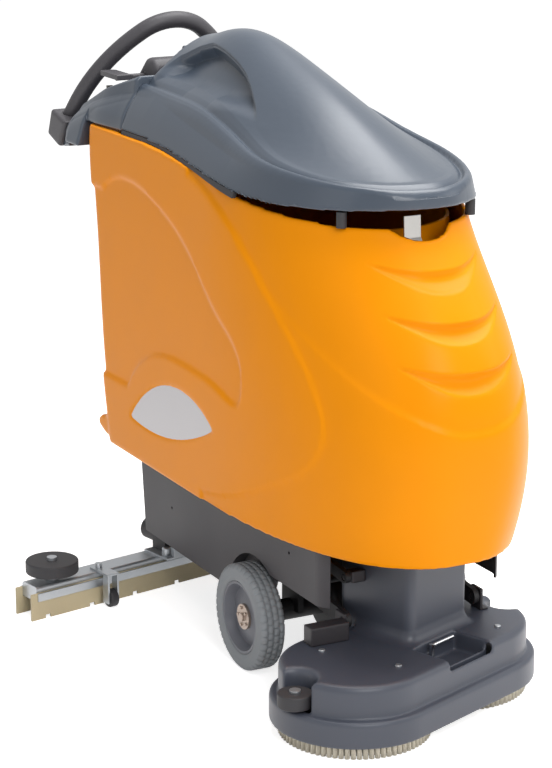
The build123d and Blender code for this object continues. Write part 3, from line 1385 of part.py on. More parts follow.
def blade(side):
    near = BODY_HALF_DEPTH
    face = (near, near + BLADE_THICK) if side > 0 else (-near - BLADE_THICK, -near)
    strip = block((-SQUEEGEE_HALF, SQUEEGEE_HALF), face, (0.0, BLADE_TOP))
    if side < 0:
        for i in range(-3, 4):
            s = i * NOTCH_PITCH
            strip -= block((s - NOTCH_WIDTH / 2, s + NOTCH_WIDTH / 2), face, (-1.0, NOTCH_HEIGHT))
    return squeegee_place(strip)


def clamp_strips():
    near = BODY_HALF_DEPTH + BLADE_THICK
    z = (BLADE_TOP - STRIP_HEIGHT, BLADE_TOP)
    strips = []
    for face in ((near, near + STRIP_THICK), (-near - STRIP_THICK, -near)):
        strips.append(squeegee_place(block((-BODY_HALF, BODY_HALF), face, z)))
    return strips


def carriage():
    rail_out = RAIL_R_OUT - SQUEEGEE_R
    web = (rail_out + SIDE_GAP, rail_out + SIDE_GAP + CARRIAGE_WEB)
    low = RAIL_Z - SIDE_GAP - CARRIAGE_PLATE
    high = RAIL_Z + RAIL_THICK + SKIN_GAP
    s = (-CARRIAGE_HALF, CARRIAGE_HALF)
    grip = (RAIL_R_IN - SQUEEGEE_R + 6.0, web[1])
    body = block(s, grip, (low, low + CARRIAGE_PLATE)) + block(s, grip, (high, high + CARRIAGE_PLATE))
    body += block(s, web, (low, high + CARRIAGE_PLATE))
    yoke_top = BODY_TOP + YOKE_THICK
    body += block(s, (web[0], web[1] + 6.0), (yoke_top, low + CARRIAGE_PLATE))
    yoke = block((-YOKE_HALF, YOKE_HALF), (web[0], BODY_HALF_DEPTH - 4.0), (BODY_TOP, yoke_top))
    return squeegee_place(body + yoke - rod_z(0, 0, ELBOW_BORE_R, BODY_TOP - 1.0, yoke_top + 1.0))


def yoke_knobs():
    knobs = []
    z = BODY_TOP + YOKE_THICK
    for s in (-KNOB_S, KNOB_S):
        knob = rod_z(s, KNOB_T, KNOB_R, z, z + KNOB_HEIGHT)
        knobs.append(squeegee_place(fillet(knob.edges().group_by(Axis.Z)[-1], 3.0)))
    return knobs


def elbow():
    """Box over the hole in the squeegee, with a socket to the rear for the suction hose."""
    z = BODY_TOP + YOKE_THICK
    front, rear = ELBOW_T
    wall, half = ELBOW_WALL, ELBOW_HALF
    box = block((-half, half), ELBOW_T, (z, ELBOW_TOP))
    box = fillet(box.edges().filter_by(Axis.Y).group_by(Axis.Z)[-1], wall)
    box += rod_y(0, ELBOW_TUBE_Z, ELBOW_R, rear, ELBOW_TUBE_END)
    box -= block((wall - half, half - wall), (front + wall, rear - wall), (z - 1.0, ELBOW_TOP - wall))
    return squeegee_place(box - rod_y(0, ELBOW_TUBE_Z, ELBOW_BORE_R, rear - wall, ELBOW_TUBE_END))


def tip_roller(side):
    s = side * TIP_ROLLER_S
    wheel = rod_z(s, 0, TIP_ROLLER_R, TIP_ROLLER_BOTTOM, TIP_ROLLER_BOTTOM + TIP_ROLLER_HEIGHT)
    wheel = fillet(wheel.edges(), 3.0)
    return squeegee_place(wheel - rod_z(s, 0, TIP_BOLT_R + RUN_FIT, 0.0, 200.0))


def tip_bolts():
    bolts = []
    top = TIP_ROLLER_BOTTOM + TIP_ROLLER_HEIGHT + SKIN_GAP
    for side in (-1, 1):
        s = side * TIP_ROLLER_S
        bolt = rod_z(s, 0, TIP_BOLT_R, BODY_TOP, top) + rod_z(s, 0, TIP_HEAD_R, top, top + 6.0)
        bolts.append(squeegee_place(bolt + rod_z(s, 0, TIP_SPACER_R, BODY_TOP, TIP_ROLLER_BOTTOM - SKIN_GAP)))
    return bolts


def support_wheel(side):
    s = side * SUPPORT_S
    wheel = rod_x(SUPPORT_T, SUPPORT_R, SUPPORT_R, s - SUPPORT_WIDTH / 2, s + SUPPORT_WIDTH / 2)
    wheel = fillet(wheel.edges(), 2.0)
    return squeegee_place(wheel - rod_x(SUPPORT_T, SUPPORT_R, SUPPORT_PIN_R + RUN_FIT, s - 30.0, s + 30.0))


def support_brackets():
    brackets = []
    for side in (-1, 1):
        s = side * SUPPORT_S
        near = SUPPORT_WIDTH / 2 + SIDE_GAP
        depth = (SUPPORT_T - SUPPORT_LEG_HALF, SUPPORT_T + SUPPORT_LEG_HALF)
        heights = (SUPPORT_R - SUPPORT_LEG_HALF, BODY_TOP)
        legs = block((s + near, s + near + SUPPORT_PLATE), depth, heights)
        legs += block((s - near - SUPPORT_PLATE, s - near), depth, heights)
        outer = near + SUPPORT_PLATE
        top = block((s - outer, s + outer), (depth[0], 0.0), (BODY_TOP, BODY_TOP + SUPPORT_PLATE))
        pin = rod_x(SUPPORT_T, SUPPORT_R, SUPPORT_PIN_R, s - outer, s + outer)
        nut = rod_z(s, -12.0, 7.0, BODY_TOP + SUPPORT_PLATE, BODY_TOP + SUPPORT_PLATE + 9.0)
        brackets.append(squeegee_place(legs + top + pin + nut))
    return brackets


# Small pieces on the body


def lid_buffers(tank):
    """Rubber feet on the rim under the front of the lid."""
    top = LID_LOW_POINTS[3][1] - 2 * SKIN_GAP
    foot = rod_z(-BUFFER_X, BUFFER_Y, BUFFER_R, RIM_POINTS[3][1], top) - tank
    foot = foot.solids().sort_by(Axis.Z)[-1]
    return [foot, mirrored(foot)]


def latch_strap(tank):
    """Bent steel strap on the inside of the front wall, in the filling gap."""
    x = (STRAP_X - STRAP_WIDTH / 2, STRAP_X + STRAP_WIDTH / 2)
    strap = side_prism(STRAP_POINTS, x[0], x[1]) - tank
    return strap.solids().sort_by(Axis.Y)[-1]


def vacuum_motor():
    body = rod_z(0, VACUUM_Y, VACUUM_R, RIM_REAR_Z, RIM_REAR_Z + VACUUM_HEIGHT)
    return fillet(body.edges().group_by(Axis.Z)[-1], 8.0)


def inlet_port(tank):
    """Socket for the suction hose on the rear wall."""
    wall = PORT_Y - PORT_LENGTH
    end = PORT_Y + PORT_LENGTH
    stub = rod_y(0, PORT_Z, PORT_R, wall, end) + rod_y(0, PORT_Z, PORT_FLANGE_R, wall, PORT_Y + PORT_WALL)
    stub = stub - tank - rod_y(0, PORT_Z, PORT_R - PORT_WALL, wall, end)
    return max(stub.solids(), key=lambda piece: piece.center().Y)


def save(name, shape):
    solids = []
    for item in shape if isinstance(shape, (list, tuple)) else [shape]:
        solids += item.solids()
    target = solids[0] if len(solids) == 1 else Compound(children=solids)
    export_step(target, f"parts/{name}.step")


def main():
    os.makedirs("parts", exist_ok=True)
    tank = solution_tank()
    shell = console()
    cover = deck_cover()
    save("chassis", chassis())
    save("transaxle", transaxle())
    for side, turn in (("right", lambda s: s), ("left", mirrored)):
        save(f"tyre_{side}", turn(tyre()))
        save(f"rim_{side}", turn(rim()))
        save(f"wheel_hub_{side}", turn(hub()))
    save("caster_fork", caster_fork())
    save("caster_wheel", caster_wheel())
    save("battery_right", battery(-1))
    save("battery_left", battery(1))
    save("solution_tank", tank)
    save("recovery_tub", recovery_tub())
    save("badge_plate", badge_plate())
    save("lid_buffers", lid_buffers(tank))
    save("latch_strap", latch_strap(tank))
    save("lid", lid())
    save("lid_gasket", lid_gasket())
    save("lid_hinge", lid_hinge(shell))
    save("console", shell)
    save("handle_beam", handle_beam())
    save("handle_hoop", hoop())
    save("instrument_pod", pod(shell))
    save("display_lens", lens())
    save("button_right", button(-1))
    save("button_left", button(1))
    save("stop_button", stop_button())
    save("key_switch", key_switch())
    save("drive_paddle", drive_paddle())
    save("vacuum_motor", vacuum_motor())
    save("inlet_port", inlet_port(tank))
    save("deck_cover", cover)
    save("deck_fasteners", deck_screws() + roller_bolts())
    save("deck_ears", deck_ears(cover))
    save("brush_motor", brush_motor())
    save("motor_pulley", motor_pulley())
    save("drive_belt", belt())
    for side, u in (("right", brush_spots()[0]), ("left", brush_spots()[1])):
        save(f"brush_plate_{side}", brush_plate(u))
        save(f"bristles_{side}", bristles(u))
    save("release_lever", release_lever())
    for side, (u, w) in zip(("right", "left"), roller_spots()):
        save(f"deck_roller_{side}", deck_roller(u, w))
    save("deck_arms", deck_arms())
    save("upper_link", upper_link())
    save("lift_frame", lift_frame())
    save("squeegee_body", squeegee_body())
    save("blade_front", blade(-1))
    save("blade_rear", blade(1))
    save("blade_clamps", clamp_strips())
    save("squeegee_carriage", carriage())
    save("squeegee_fasteners", yoke_knobs() + tip_bolts())
    save("suction_elbow", elbow())
    for side, sign in (("right", -1), ("left", 1)):
        save(f"squeegee_roller_{side}", tip_roller(sign))
        save(f"support_wheel_{side}", support_wheel(sign))
    save("support_brackets", support_brackets())


if __name__ == "__main__":
    main()
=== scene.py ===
import math

import bpy
import numpy as np
from mathutils import Matrix, Vector


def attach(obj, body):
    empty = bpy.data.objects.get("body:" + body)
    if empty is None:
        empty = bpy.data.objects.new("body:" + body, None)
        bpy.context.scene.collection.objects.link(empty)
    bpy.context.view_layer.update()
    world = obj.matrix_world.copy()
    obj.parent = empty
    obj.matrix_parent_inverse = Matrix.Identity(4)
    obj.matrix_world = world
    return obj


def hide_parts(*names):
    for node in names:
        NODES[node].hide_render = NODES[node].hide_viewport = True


# Shapes are worked out in millimetres in the part's frame and scaled to metres as they become meshes.
MM = 0.001

# Camera at the photo's angle: place, turn and tilt of the view, and lens
CAMERA_PLACE = (-2.0653, -3.7155, 1.6782)
CAMERA_TURN = 27.3926
CAMERA_TILT = 15.2688
CAMERA_LENS = 112.5
CAMERA_SENSOR = 36.0
CAMERA_FAR = 100.0

# Moulded copies of CAD nodes: body, voxel size and rounds of smoothing, and how far a round goes
MOULDED = {
    "solution_tank": ("body", 4.0, 6),
    "console": ("body", 2.5, 14),
    "instrument_pod": ("body", 2.5, 40),
    "handle_beam": ("body", 2.5, 10),
    "lid": ("lid", 2.5, 8),
    "deck_cover": ("deck", 2.5, 8),
    "deck_ears": ("deck", 1.5, 10),
}
SMOOTHING = 0.5

# Front crescents of the tank: upper crease, lower lip and half-width; how far their tips rise
CRESCENTS = ((797.0, 762.0, 112.0), (720.0, 686.0, 114.0), (644.0, 606.0, 116.0))
CRESCENT_RISE = 12.0
CRESCENT_DEPTH = 11.0
# Share of the height at which a crescent is deepest
CRESCENT_LOWEST = 0.52
CRESCENT_FADE = 0.7
CRESCENT_REACH_Y = -150.0
CRESCENT_Z = (560.0, 815.0)
# Wall kept behind them, and how far a surface has to face back or front to count as the inside or the outside
CRESCENT_BACKING = 9.0
FACES_BACK = 0.3
FACES_FRONT = -0.1

# Console: its lower edge, and how far that comes down to the tank's roof
CONSOLE_SEAT_Z = 934.0
CONSOLE_SEAT_REACH = 18.0
CONSOLE_SEAT_DROP = 11.5
CONSOLE_REAR_WALL_Y = 692.0
# Its sections, as (Y, height of the bead), and half-width by height over the bead
CONSOLE_BEADS = ((533.0, 998.0), (653.0, 966.0), (748.0, 930.0), (790.0, 901.0))
CONSOLE_WIDTHS = ((-12.0, 212.0), (0.0, 203.0), (24.0, 176.0))
# Flanks that carry on the lid's: half-width at the seat and lean, at the seam with the lid and further back
CONSOLE_FLANK_Y = (533.0, 653.0)
CONSOLE_FLANK_HALF = (205.2, 212.0)
CONSOLE_FLANK_LEAN = (0.36, 0.3)
# Where that begins across the machine, and where it ends behind
CONSOLE_FLANK_X = (115.0, 165.0)
CONSOLE_TAIL_Y = (748.0, 800.0)
CONSOLE_FRONT_GROWTH = 1.5
CONSOLE_FRONT_Y = (533.0, 548.0)

# Lid: plan at the bead, height of the bead along the machine, and the moulding along its edge
LID_HALF_WIDTH = 185.0
LID_EDGE_Z = 990.0
LID_LEAN = 0.36
LID_TIP_Y = -303.0
LID_SIDE_END_Y = 130.0
LID_NOSE_POWER = 2.2
# Moulding: distance in from the edge, and how far the surface rises there
LID_MOULDING = (
    (0.0, -5.0),
    (4.0, 0.0),
    (9.0, 4.5),
    (15.0, 5.5),
    (20.0, 3.0),
    (24.0, -4.0),
    (28.0, -5.0),
    (34.0, -1.0),
    (42.0, 1.5),
    (56.0, 0.0),
)
FACES_UP = 0.2
# Rear edge, brought back towards the console
LID_REAR_Y = 530.0
LID_REAR_REACH = 40.0
LID_REAR_GROWTH = 2.2
# Scoop in each flank, as (X, Y) of its crisp upper edge and its soft lower edge
SCOOP_CRISP = (
    (-112.0, 524.0),
    (-87.0, 502.0),
    (-69.0, 457.0),
    (-61.0, 412.0),
    (-65.0, 356.0),
    (-71.0, 282.0),
    (-77.0, 242.0),
    (-88.0, 200.0),
    (-106.0, 143.0),
    (-121.0, 108.0),
)
SCOOP_SOFT = (
    (-125.0, 104.0),
    (-140.0, 186.0),
    (-158.0, 272.0),
    (-163.0, 384.0),
    (-146.0, 516.0),
    (-112.0, 524.0),
)
# Its depth, the share of it that goes inwards and down, and the widths of its two edges
SCOOP_DEPTH = 28.0
SCOOP_SLANT = 0.7
SCOOP_EDGE = 9.0
SCOOP_RAMP = 60.0
# Bead along the lid and the console, as (Y, Z), and the round shoulder under it
BEAD_LINE = (
    (-98.0, 936.0),
    (72.0, 947.0),
    (253.0, 973.0),
    (380.0, 993.0),
    (448.0, 999.0),
    (515.0, 998.0),
    (576.0, 990.0),
    (630.0, 977.0),
    (691.0, 960.0),
    (750.0, 934.0),
)
SHOULDER_IN = 10.0
SHOULDER_HEIGHT = 46.0
# Where the shoulder begins: half-width and place along the machine, each with the place where it is full
SHOULDER_X = (120.0, 178.0)
SHOULDER_Y = (-60.0, 120.0)

# Tyres: tread blocks round the wheel
WHEEL_R = 100.0
WHEEL_CENTRE_Z = 100.0
WHEEL_INNER_X = 170.0
TYRE_WIDTH = 48.0
TYRE_SEAT_R = 68.3
TYRE_SEAT_EDGE = 2.0
TYRE_SEAT_SHARE = 0.06
# Radii on the side wall, and the round at the edge of the tread: its drop, and where it begins and ends
TYRE_WALL_R = (82.0, 88.0)
TYRE_ROUND = 7.0
TYRE_ROUND_SHARES = (0.36, 0.5)
TREAD_BLOCKS = 44
TREAD_STEPS = 8
TREAD_SLOT = 0.24
TREAD_DEPTH = 2.6
TREAD_RIBS = (0.26, 0.5, 0.74)
TREAD_RIB_HALF = 0.022
TREAD_RIB_EDGE = 0.004
# Places across the tread, as shares of its width, between its ribs
TREAD_SHARES = (0.0, 0.02, 0.05, 0.1, 0.16, 0.38, 0.62, 0.84, 0.9, 0.95, 0.98, 1.0)

# Brushes: centres, rings of tufts and strands in each tuft
BRUSH_CENTRES = {"right": (-162.6, -340.3), "left": (96.6, -239.7)}
TUFT_RINGS = ((128.5, 78), (117.0, 70), (105.0, 62))
TUFT_TOP = 41.0
TUFT_FOOT = 0.2
TUFT_R = 2.6
# How far strands spread at the floor: outwards, with the share that all do, and sideways; the brush's own reach
TUFT_SPLAY = 2.0
TUFT_SPLAY_ALL = 0.4
TUFT_SPLAY_SIDE = 0.5
TUFT_REACH = 133.5
STRANDS = 11
STRAND_R = 1.1
STRAND_SIDES = 5

# Studio, in metres: floor, lights as (place, size, power) with the height they aim at, and ambient light
FLOOR_SIZE = 40.0
FLOOR_GREY = 0.85
FLOOR_ROUGH = 0.9
FLOOR_GLOW = 0.74
LIGHTS = {
    "key": ((-0.6, -4.0, 3.2), 2.4, 112.0),
    "top": ((0.9, 0.3, 4.0), 3.0, 170.0),
    "side": ((-4.2, -0.6, 2.0), 2.6, 12.0),
    "far": ((3.6, -1.8, 2.4), 2.4, 30.0),
}
LIGHT_AIM = (0.0, 0.0, 0.55)
WHITE = (1.0, 1.0, 1.0, 1.0)
AMBIENT = 0.32
BACKDROP = 0.8

# Finishes: how far gloss varies, the depth of the grain, and the roughness of a clear coat
GLOSS_VARIATION = 0.1
GRAIN_DEPTH = 0.5
COAT_ROUGH = 0.25
CLOUD_DETAIL = 4.0
EDGE_SAMPLES = 4

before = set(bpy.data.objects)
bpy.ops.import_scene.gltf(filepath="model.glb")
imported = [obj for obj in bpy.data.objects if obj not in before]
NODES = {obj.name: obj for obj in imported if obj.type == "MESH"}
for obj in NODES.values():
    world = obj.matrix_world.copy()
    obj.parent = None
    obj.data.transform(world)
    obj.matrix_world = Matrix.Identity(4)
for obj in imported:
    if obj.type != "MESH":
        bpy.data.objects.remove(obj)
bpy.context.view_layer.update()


# Materials

def linear(red, green, blue):
    """A colour given as 0-255 display values, in the linear light of the shaders."""
    out = []
    for level in (red, green, blue):
        part = level / 255.0
        out.append(part / 12.92 if part <= 0.04045 else ((part + 0.055) / 1.055) ** 2.4)
    return (*out, 1.0)


def shade(colour, factor):
    return tuple(min(1.0, c * factor) for c in colour[:3]) + (1.0,)


def finish_material(name, colour, rough, metal=0.0, coat=0.0, shine=0.5, edge=1.2, mottle=0.05, patch=9.0,
                    grain=0.08, pitch=900.0):
    """A moulded or metal finish: soft colour and gloss variation, a fine grain and rounded edges."""
    material = bpy.data.materials.new(name)
    material.use_nodes = True
    tree = material.node_tree
    link = tree.links.new
    surface = tree.nodes["Principled BSDF"]
    place = tree.nodes.new("ShaderNodeTexCoord")
    cloud = tree.nodes.new("ShaderNodeTexNoise")
    cloud.inputs["Scale"].default_value = patch
    cloud.inputs["Detail"].default_value = CLOUD_DETAIL
    link(place.outputs["Object"], cloud.inputs["Vector"])
    tint = tree.nodes.new("ShaderNodeMix")
    tint.data_type = "RGBA"
    tint.inputs["A"].default_value = shade(colour, 1.0 - mottle)
    tint.inputs["B"].default_value = shade(colour, 1.0 + mottle)
    link(cloud.outputs["Fac"], tint.inputs["Factor"])
    link(tint.outputs["Result"], surface.inputs["Base Color"])
    gloss = tree.nodes.new("ShaderNodeMapRange")
    gloss.inputs["To Min"].default_value = rough * (1.0 - GLOSS_VARIATION)
    gloss.inputs["To Max"].default_value = min(1.0, rough * (1.0 + GLOSS_VARIATION))
    link(cloud.outputs["Fac"], gloss.inputs["Value"])
    link(gloss.outputs["Result"], surface.inputs["Roughness"])
    fine = tree.nodes.new("ShaderNodeTexNoise")
    fine.inputs["Scale"].default_value = pitch
    link(place.outputs["Object"], fine.inputs["Vector"])
    bump = tree.nodes.new("ShaderNodeBump")
    bump.inputs["Strength"].default_value = grain
    bump.inputs["Distance"].default_value = GRAIN_DEPTH * MM
    link(fine.outputs["Fac"], bump.inputs["Height"])
    if edge:
        rounding = tree.nodes.new("ShaderNodeBevel")
        rounding.samples = EDGE_SAMPLES
        rounding.inputs["Radius"].default_value = edge * MM
        link(rounding.outputs["Normal"], bump.inputs["Normal"])
    link(bump.outputs["Normal"], surface.inputs["Normal"])
    surface.inputs["Metallic"].default_value = metal
    surface.inputs["Specular IOR Level"].default_value = shine
    surface.inputs["Coat Weight"].default_value = coat
    surface.inputs["Coat Roughness"].default_value = COAT_ROUGH
    return material


FINISHES = {
    "tank_orange": dict(colour=linear(246, 149, 4), rough=0.36, mottle=0.03, edge=0.0, shine=0.1),
    "lid_grey": dict(colour=linear(63, 73, 86), rough=0.3, mottle=0.04, edge=0.0, shine=0.6),
    "dark_plastic": dict(colour=linear(66, 64, 68), rough=0.5),
    "deck_grey": dict(colour=linear(66, 70, 81), rough=0.42, edge=0.0),
    "chassis_grey": dict(colour=linear(46, 43, 47), rough=0.55),
    "zinc": dict(colour=linear(176, 180, 184), rough=0.38, metal=0.85, mottle=0.1, patch=40.0),
    "steel": dict(colour=linear(190, 188, 184), rough=0.3, metal=0.95, mottle=0.08, patch=30.0),
    "chrome": dict(colour=linear(225, 226, 228), rough=0.12, metal=1.0, mottle=0.03),
    "tyre_grey": dict(colour=linear(138, 142, 146), rough=0.7, mottle=0.08, patch=25.0),
    "rim_grey": dict(colour=linear(104, 106, 114), rough=0.45),
    "hub_beige": dict(colour=linear(176, 160, 148), rough=0.4, metal=0.6, mottle=0.12, patch=60.0),
    "black_rubber": dict(colour=linear(44, 43, 46), rough=0.62, mottle=0.08, patch=20.0),
    "blade_beige": dict(colour=linear(200, 186, 152), rough=0.5, mottle=0.06, patch=15.0),
    "cast_black": dict(colour=linear(34, 33, 35), rough=0.6, grain=0.3, pitch=400.0),
    "battery_case": dict(colour=linear(40, 40, 44), rough=0.5),
    "silver_plate": dict(colour=linear(158, 155, 156), rough=0.3, metal=0.8, mottle=0.04),
    "red_plastic": dict(colour=linear(196, 40, 24), rough=0.4),
    "lens_dark": dict(colour=linear(26, 30, 34), rough=0.12, coat=0.6, mottle=0.1),
    "bristle": dict(colour=linear(240, 232, 214), rough=0.75, mottle=0.12, patch=220.0),
}
MATERIALS = {slot: finish_material("finish_" + slot, **look) for slot, look in FINISHES.items()}
SLOTS = {}


def paint_nodes():
    """Gives each CAD node the finish of its slot."""
    for name, piece in NODES.items():
        slot = piece.data.materials[0].name.split(".")[0]
        SLOTS[name] = slot
        piece.data.materials.clear()
        piece.data.materials.append(MATERIALS[slot])


def add_piece(name, mesh, body, slot, *replaced):
    """A piece of the scene: its mesh, its finish, the body it rides on and the nodes it stands for."""
    mesh.materials.clear()
    mesh.materials.append(MATERIALS[slot])
    mesh.shade_smooth()
    piece = bpy.data.objects.new(name, mesh)
    bpy.context.scene.collection.objects.link(piece)
    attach(piece, body)
    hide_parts(*replaced)


def mesh_from(points, faces):
    """A mesh from points in millimetres."""
    mesh = bpy.data.meshes.new("mesh")
    mesh.from_pydata([tuple(c * MM for c in p) for p in points], [], faces)
    mesh.update()
    return mesh


# Moulded pieces: the CAD solids with their edges rounded off as a mould leaves them

def moulded_mesh(node, voxel, rounds):
    draft = bpy.data.objects.new("draft", NODES[node].data.copy())
    if node == "solution_tank":
        move_points(draft.data, thick_front)
    bpy.context.scene.collection.objects.link(draft)
    even = draft.modifiers.new("even", "REMESH")
    even.mode = "VOXEL"
    even.voxel_size = voxel * MM
    soft = draft.modifiers.new("soft", "SMOOTH")
    soft.factor = SMOOTHING
    soft.iterations = rounds
    graph = bpy.context.evaluated_depsgraph_get()
    mesh = bpy.data.meshes.new_from_object(draft.evaluated_get(graph))
    bpy.data.objects.remove(draft)
    return mesh


def move_points(mesh, shape):
    """Moves each point of a mesh by what a function of its places and normals gives, in millimetres."""
    count = len(mesh.vertices)
    places = np.empty(count * 3, dtype=np.float32)
    normals = np.empty(count * 3, dtype=np.float32)
    mesh.vertices.foreach_get("co", places)
    mesh.vertices.foreach_get("normal", normals)
    places = places.reshape(-1, 3) / MM
    places = places + shape(places, normals.reshape(-1, 3))
    mesh.vertices.foreach_set("co", (places * MM).astype(np.float32).ravel())
    mesh.update()


def smooth_step(value):
    level = np.clip(value, 0.0, 1.0)
    return level * level * (3.0 - 2.0 * level)


def between(value, limits):
    """0 below the first limit, 1 above the second, and a smooth step between them."""
    return smooth_step((value - limits[0]) / (limits[1] - limits[0]))


def shoulder(places):
    """Flank drawn in towards the bead above it."""
    x, y, z = places.T
    below = np.interp(y, *zip(*BEAD_LINE)) - z
    drawn = SHOULDER_IN * np.clip(1.0 - below / SHOULDER_HEIGHT, 0.0, 1.0) ** 2
    move = np.zeros_like(places)
    move[:, 0] = -np.sign(x) * drawn * between(np.abs(x), SHOULDER_X) * between(y, SHOULDER_Y)
    return move


def thick_front(places, normals):
    """Inside of the tank's front wall moved back, so that the crescents keep a wall behind them."""
    y, z = places[:, 1], places[:, 2]
    back = (normals[:, 1] > FACES_BACK) & (y < CRESCENT_REACH_Y) & (z > CRESCENT_Z[0]) & (z < CRESCENT_Z[1])
    move = np.zeros_like(places)
    move[:, 1] = np.where(back, CRESCENT_BACKING, 0.0)
    return move


def moulded_pieces():
    shapes = {"lid": lid_shape, "solution_tank": tank_shape, "console": console_shape}
    for node, (body, voxel, rounds) in MOULDED.items():
        mesh = moulded_mesh(node, voxel, rounds)
        if node in shapes:
            move_points(mesh, shapes[node])
        add_piece("moulded_" + node, mesh, body, SLOTS[node], node)


def tank_shape(places, normals):
    """Crescents sunk into the front: creased above, deepest low down, with a lip below."""
    x, y, z = places.T
    sunk = np.zeros(len(places))
    for upper, lower, half in CRESCENTS:
        bow = np.clip(1.0 - (x / half) ** 2, 0.0, 1.0)
        top = upper + CRESCENT_RISE * (1.0 - bow)
        low = top - (upper - lower) * bow
        share = np.clip((top - z) / np.maximum(top - low, 1e-3), 0.0, 1.0)
        fall = np.sin(0.5 * math.pi * np.minimum(share / CRESCENT_LOWEST, 1.0))
        back = np.clip((1.0 - share) / (1.0 - CRESCENT_LOWEST), 0.0, 1.0)
        sunk += CRESCENT_DEPTH * bow ** CRESCENT_FADE * np.minimum(fall, smooth_step(back))
    move = np.zeros_like(places)
    outside = (y < CRESCENT_REACH_Y) & (normals[:, 1] < FACES_FRONT)
    move[:, 1] = np.where(outside, sunk, 0.0)
    return move


def console_shape(places, normals):
    """Lower edge brought down onto the tank's roof, and flanks that carry on the lid's."""
    x, y, z = places.T
    move = shoulder(places)
    over = z - np.interp(y, *zip(*CONSOLE_BEADS))
    wide = np.interp(over, *zip(*CONSOLE_WIDTHS))
    back = between(y, CONSOLE_FLANK_Y)
    half = CONSOLE_FLANK_HALF[0] + back * (CONSOLE_FLANK_HALF[1] - CONSOLE_FLANK_HALF[0])
    lean = CONSOLE_FLANK_LEAN[0] + back * (CONSOLE_FLANK_LEAN[1] - CONSOLE_FLANK_LEAN[0])
    flank = half - lean * (z - CONSOLE_SEAT_Z)
    share = between(np.abs(x), CONSOLE_FLANK_X) * (1.0 - between(y, CONSOLE_TAIL_Y))
    move[:, 0] += np.sign(x) * share * (flank - wide)
    move[:, 1] -= CONSOLE_FRONT_GROWTH * (1.0 - between(y, CONSOLE_FRONT_Y))
    low = smooth_step((CONSOLE_SEAT_Z + CONSOLE_SEAT_REACH - z) / CONSOLE_SEAT_REACH)
    move[:, 2] = np.where(y < CONSOLE_REAR_WALL_Y, -CONSOLE_SEAT_DROP * low, 0.0)
    return move


def lid_inset(places):
    """Distance in from the lid's plan edge."""
    x, y, z = np.abs(places[:, 0]), places[:, 1], places[:, 2]
    half = LID_HALF_WIDTH + LID_LEAN * (LID_EDGE_Z - z)
    reach = LID_SIDE_END_Y - LID_TIP_Y
    lag = np.maximum(LID_SIDE_END_Y - y, 0.0)
    share = ((x / half) ** LID_NOSE_POWER + (lag / reach) ** LID_NOSE_POWER) ** (1.0 / LID_NOSE_POWER)
    span = np.hypot(x, lag) / np.maximum(share, 1e-3)
    return np.where(lag > 0.0, (1.0 - share) * span, half - x)


def line_distance(x, y, points):
    """Distance in plan from each place to a line of points."""
    best = np.full(x.shape, 1e9)
    for (x0, y0), (x1, y1) in zip(points, points[1:]):
        dx, dy = x1 - x0, y1 - y0
        along = np.clip(((x - x0) * dx + (y - y0) * dy) / (dx * dx + dy * dy), 0.0, 1.0)
        best = np.minimum(best, np.hypot(x - x0 - along * dx, y - y0 - along * dy))
    return best


def inside(x, y, points):
    """Whether each place lies within a closed outline in plan."""
    odd = np.zeros(x.shape, dtype=bool)
    for (x0, y0), (x1, y1) in zip(points, points[1:] + points[:1]):
        crosses = (y0 > y) != (y1 > y)
        at = x0 + (y - y0) * (x1 - x0) / ((y1 - y0) if y1 != y0 else 1e-9)
        odd ^= crosses & (x < at)
    return odd


def lid_shape(places, normals):
    """Bead and groove along the edge, and a scoop in each flank."""
    move = shoulder(places)
    inset = lid_inset(places)
    rise = np.interp(inset, *zip(*LID_MOULDING))
    move[:, 2] += np.where(normals[:, 2] > FACES_UP, rise, 0.0)
    move[:, 1] += LID_REAR_GROWTH * smooth_step((places[:, 1] - LID_REAR_Y + LID_REAR_REACH) / LID_REAR_REACH)
    x, y = -np.abs(places[:, 0]), places[:, 1]
    sunk = smooth_step(line_distance(x, y, SCOOP_CRISP) / SCOOP_EDGE)
    sunk *= smooth_step(line_distance(x, y, SCOOP_SOFT) / SCOOP_RAMP)
    sunk = np.where(inside(x, y, SCOOP_CRISP + SCOOP_SOFT), sunk, 0.0) * SCOOP_DEPTH
    move[:, 0] -= np.sign(places[:, 0]) * sunk * SCOOP_SLANT
    move[:, 2] -= sunk * SCOOP_SLANT
    return move


# Tyres

def tyre_radius(along, turn):
    """Radius of the tread at a share of the width and a turn round the wheel."""
    first, last = TYRE_ROUND_SHARES
    drop = TYRE_ROUND * np.clip((abs(along - 0.5) - first) / (last - first), 0.0, 1.0) ** 2
    rib = any(abs(along - at) < TREAD_RIB_HALF for at in TREAD_RIBS)
    lag = 0.5 * (sum(along > at for at in TREAD_RIBS) % 2)
    slot = (turn * TREAD_BLOCKS / (2 * math.pi) + lag) % 1.0 < TREAD_SLOT
    return WHEEL_R - drop - (TREAD_DEPTH if rib or slot else 0.0)


def tread_shares():
    """Places across the tread with both edges of each rib."""
    shares = list(TREAD_SHARES)
    for at in TREAD_RIBS:
        for half in (TREAD_RIB_HALF - TREAD_RIB_EDGE, TREAD_RIB_HALF + TREAD_RIB_EDGE):
            shares += [at - half, at + half]
    return sorted(shares)


def tyre_ring(turn, shares):
    """Outline of the tyre at a turn round the wheel, as (share of the width, radius)."""
    edge = TYRE_SEAT_R + TYRE_SEAT_EDGE
    wall = [(TYRE_SEAT_SHARE, TYRE_SEAT_R), (0.0, edge)] + [(0.0, r) for r in TYRE_WALL_R]
    tread = [(share, tyre_radius(share, turn)) for share in shares]
    return wall + tread + [(1.0 - share, r) for share, r in reversed(wall)]


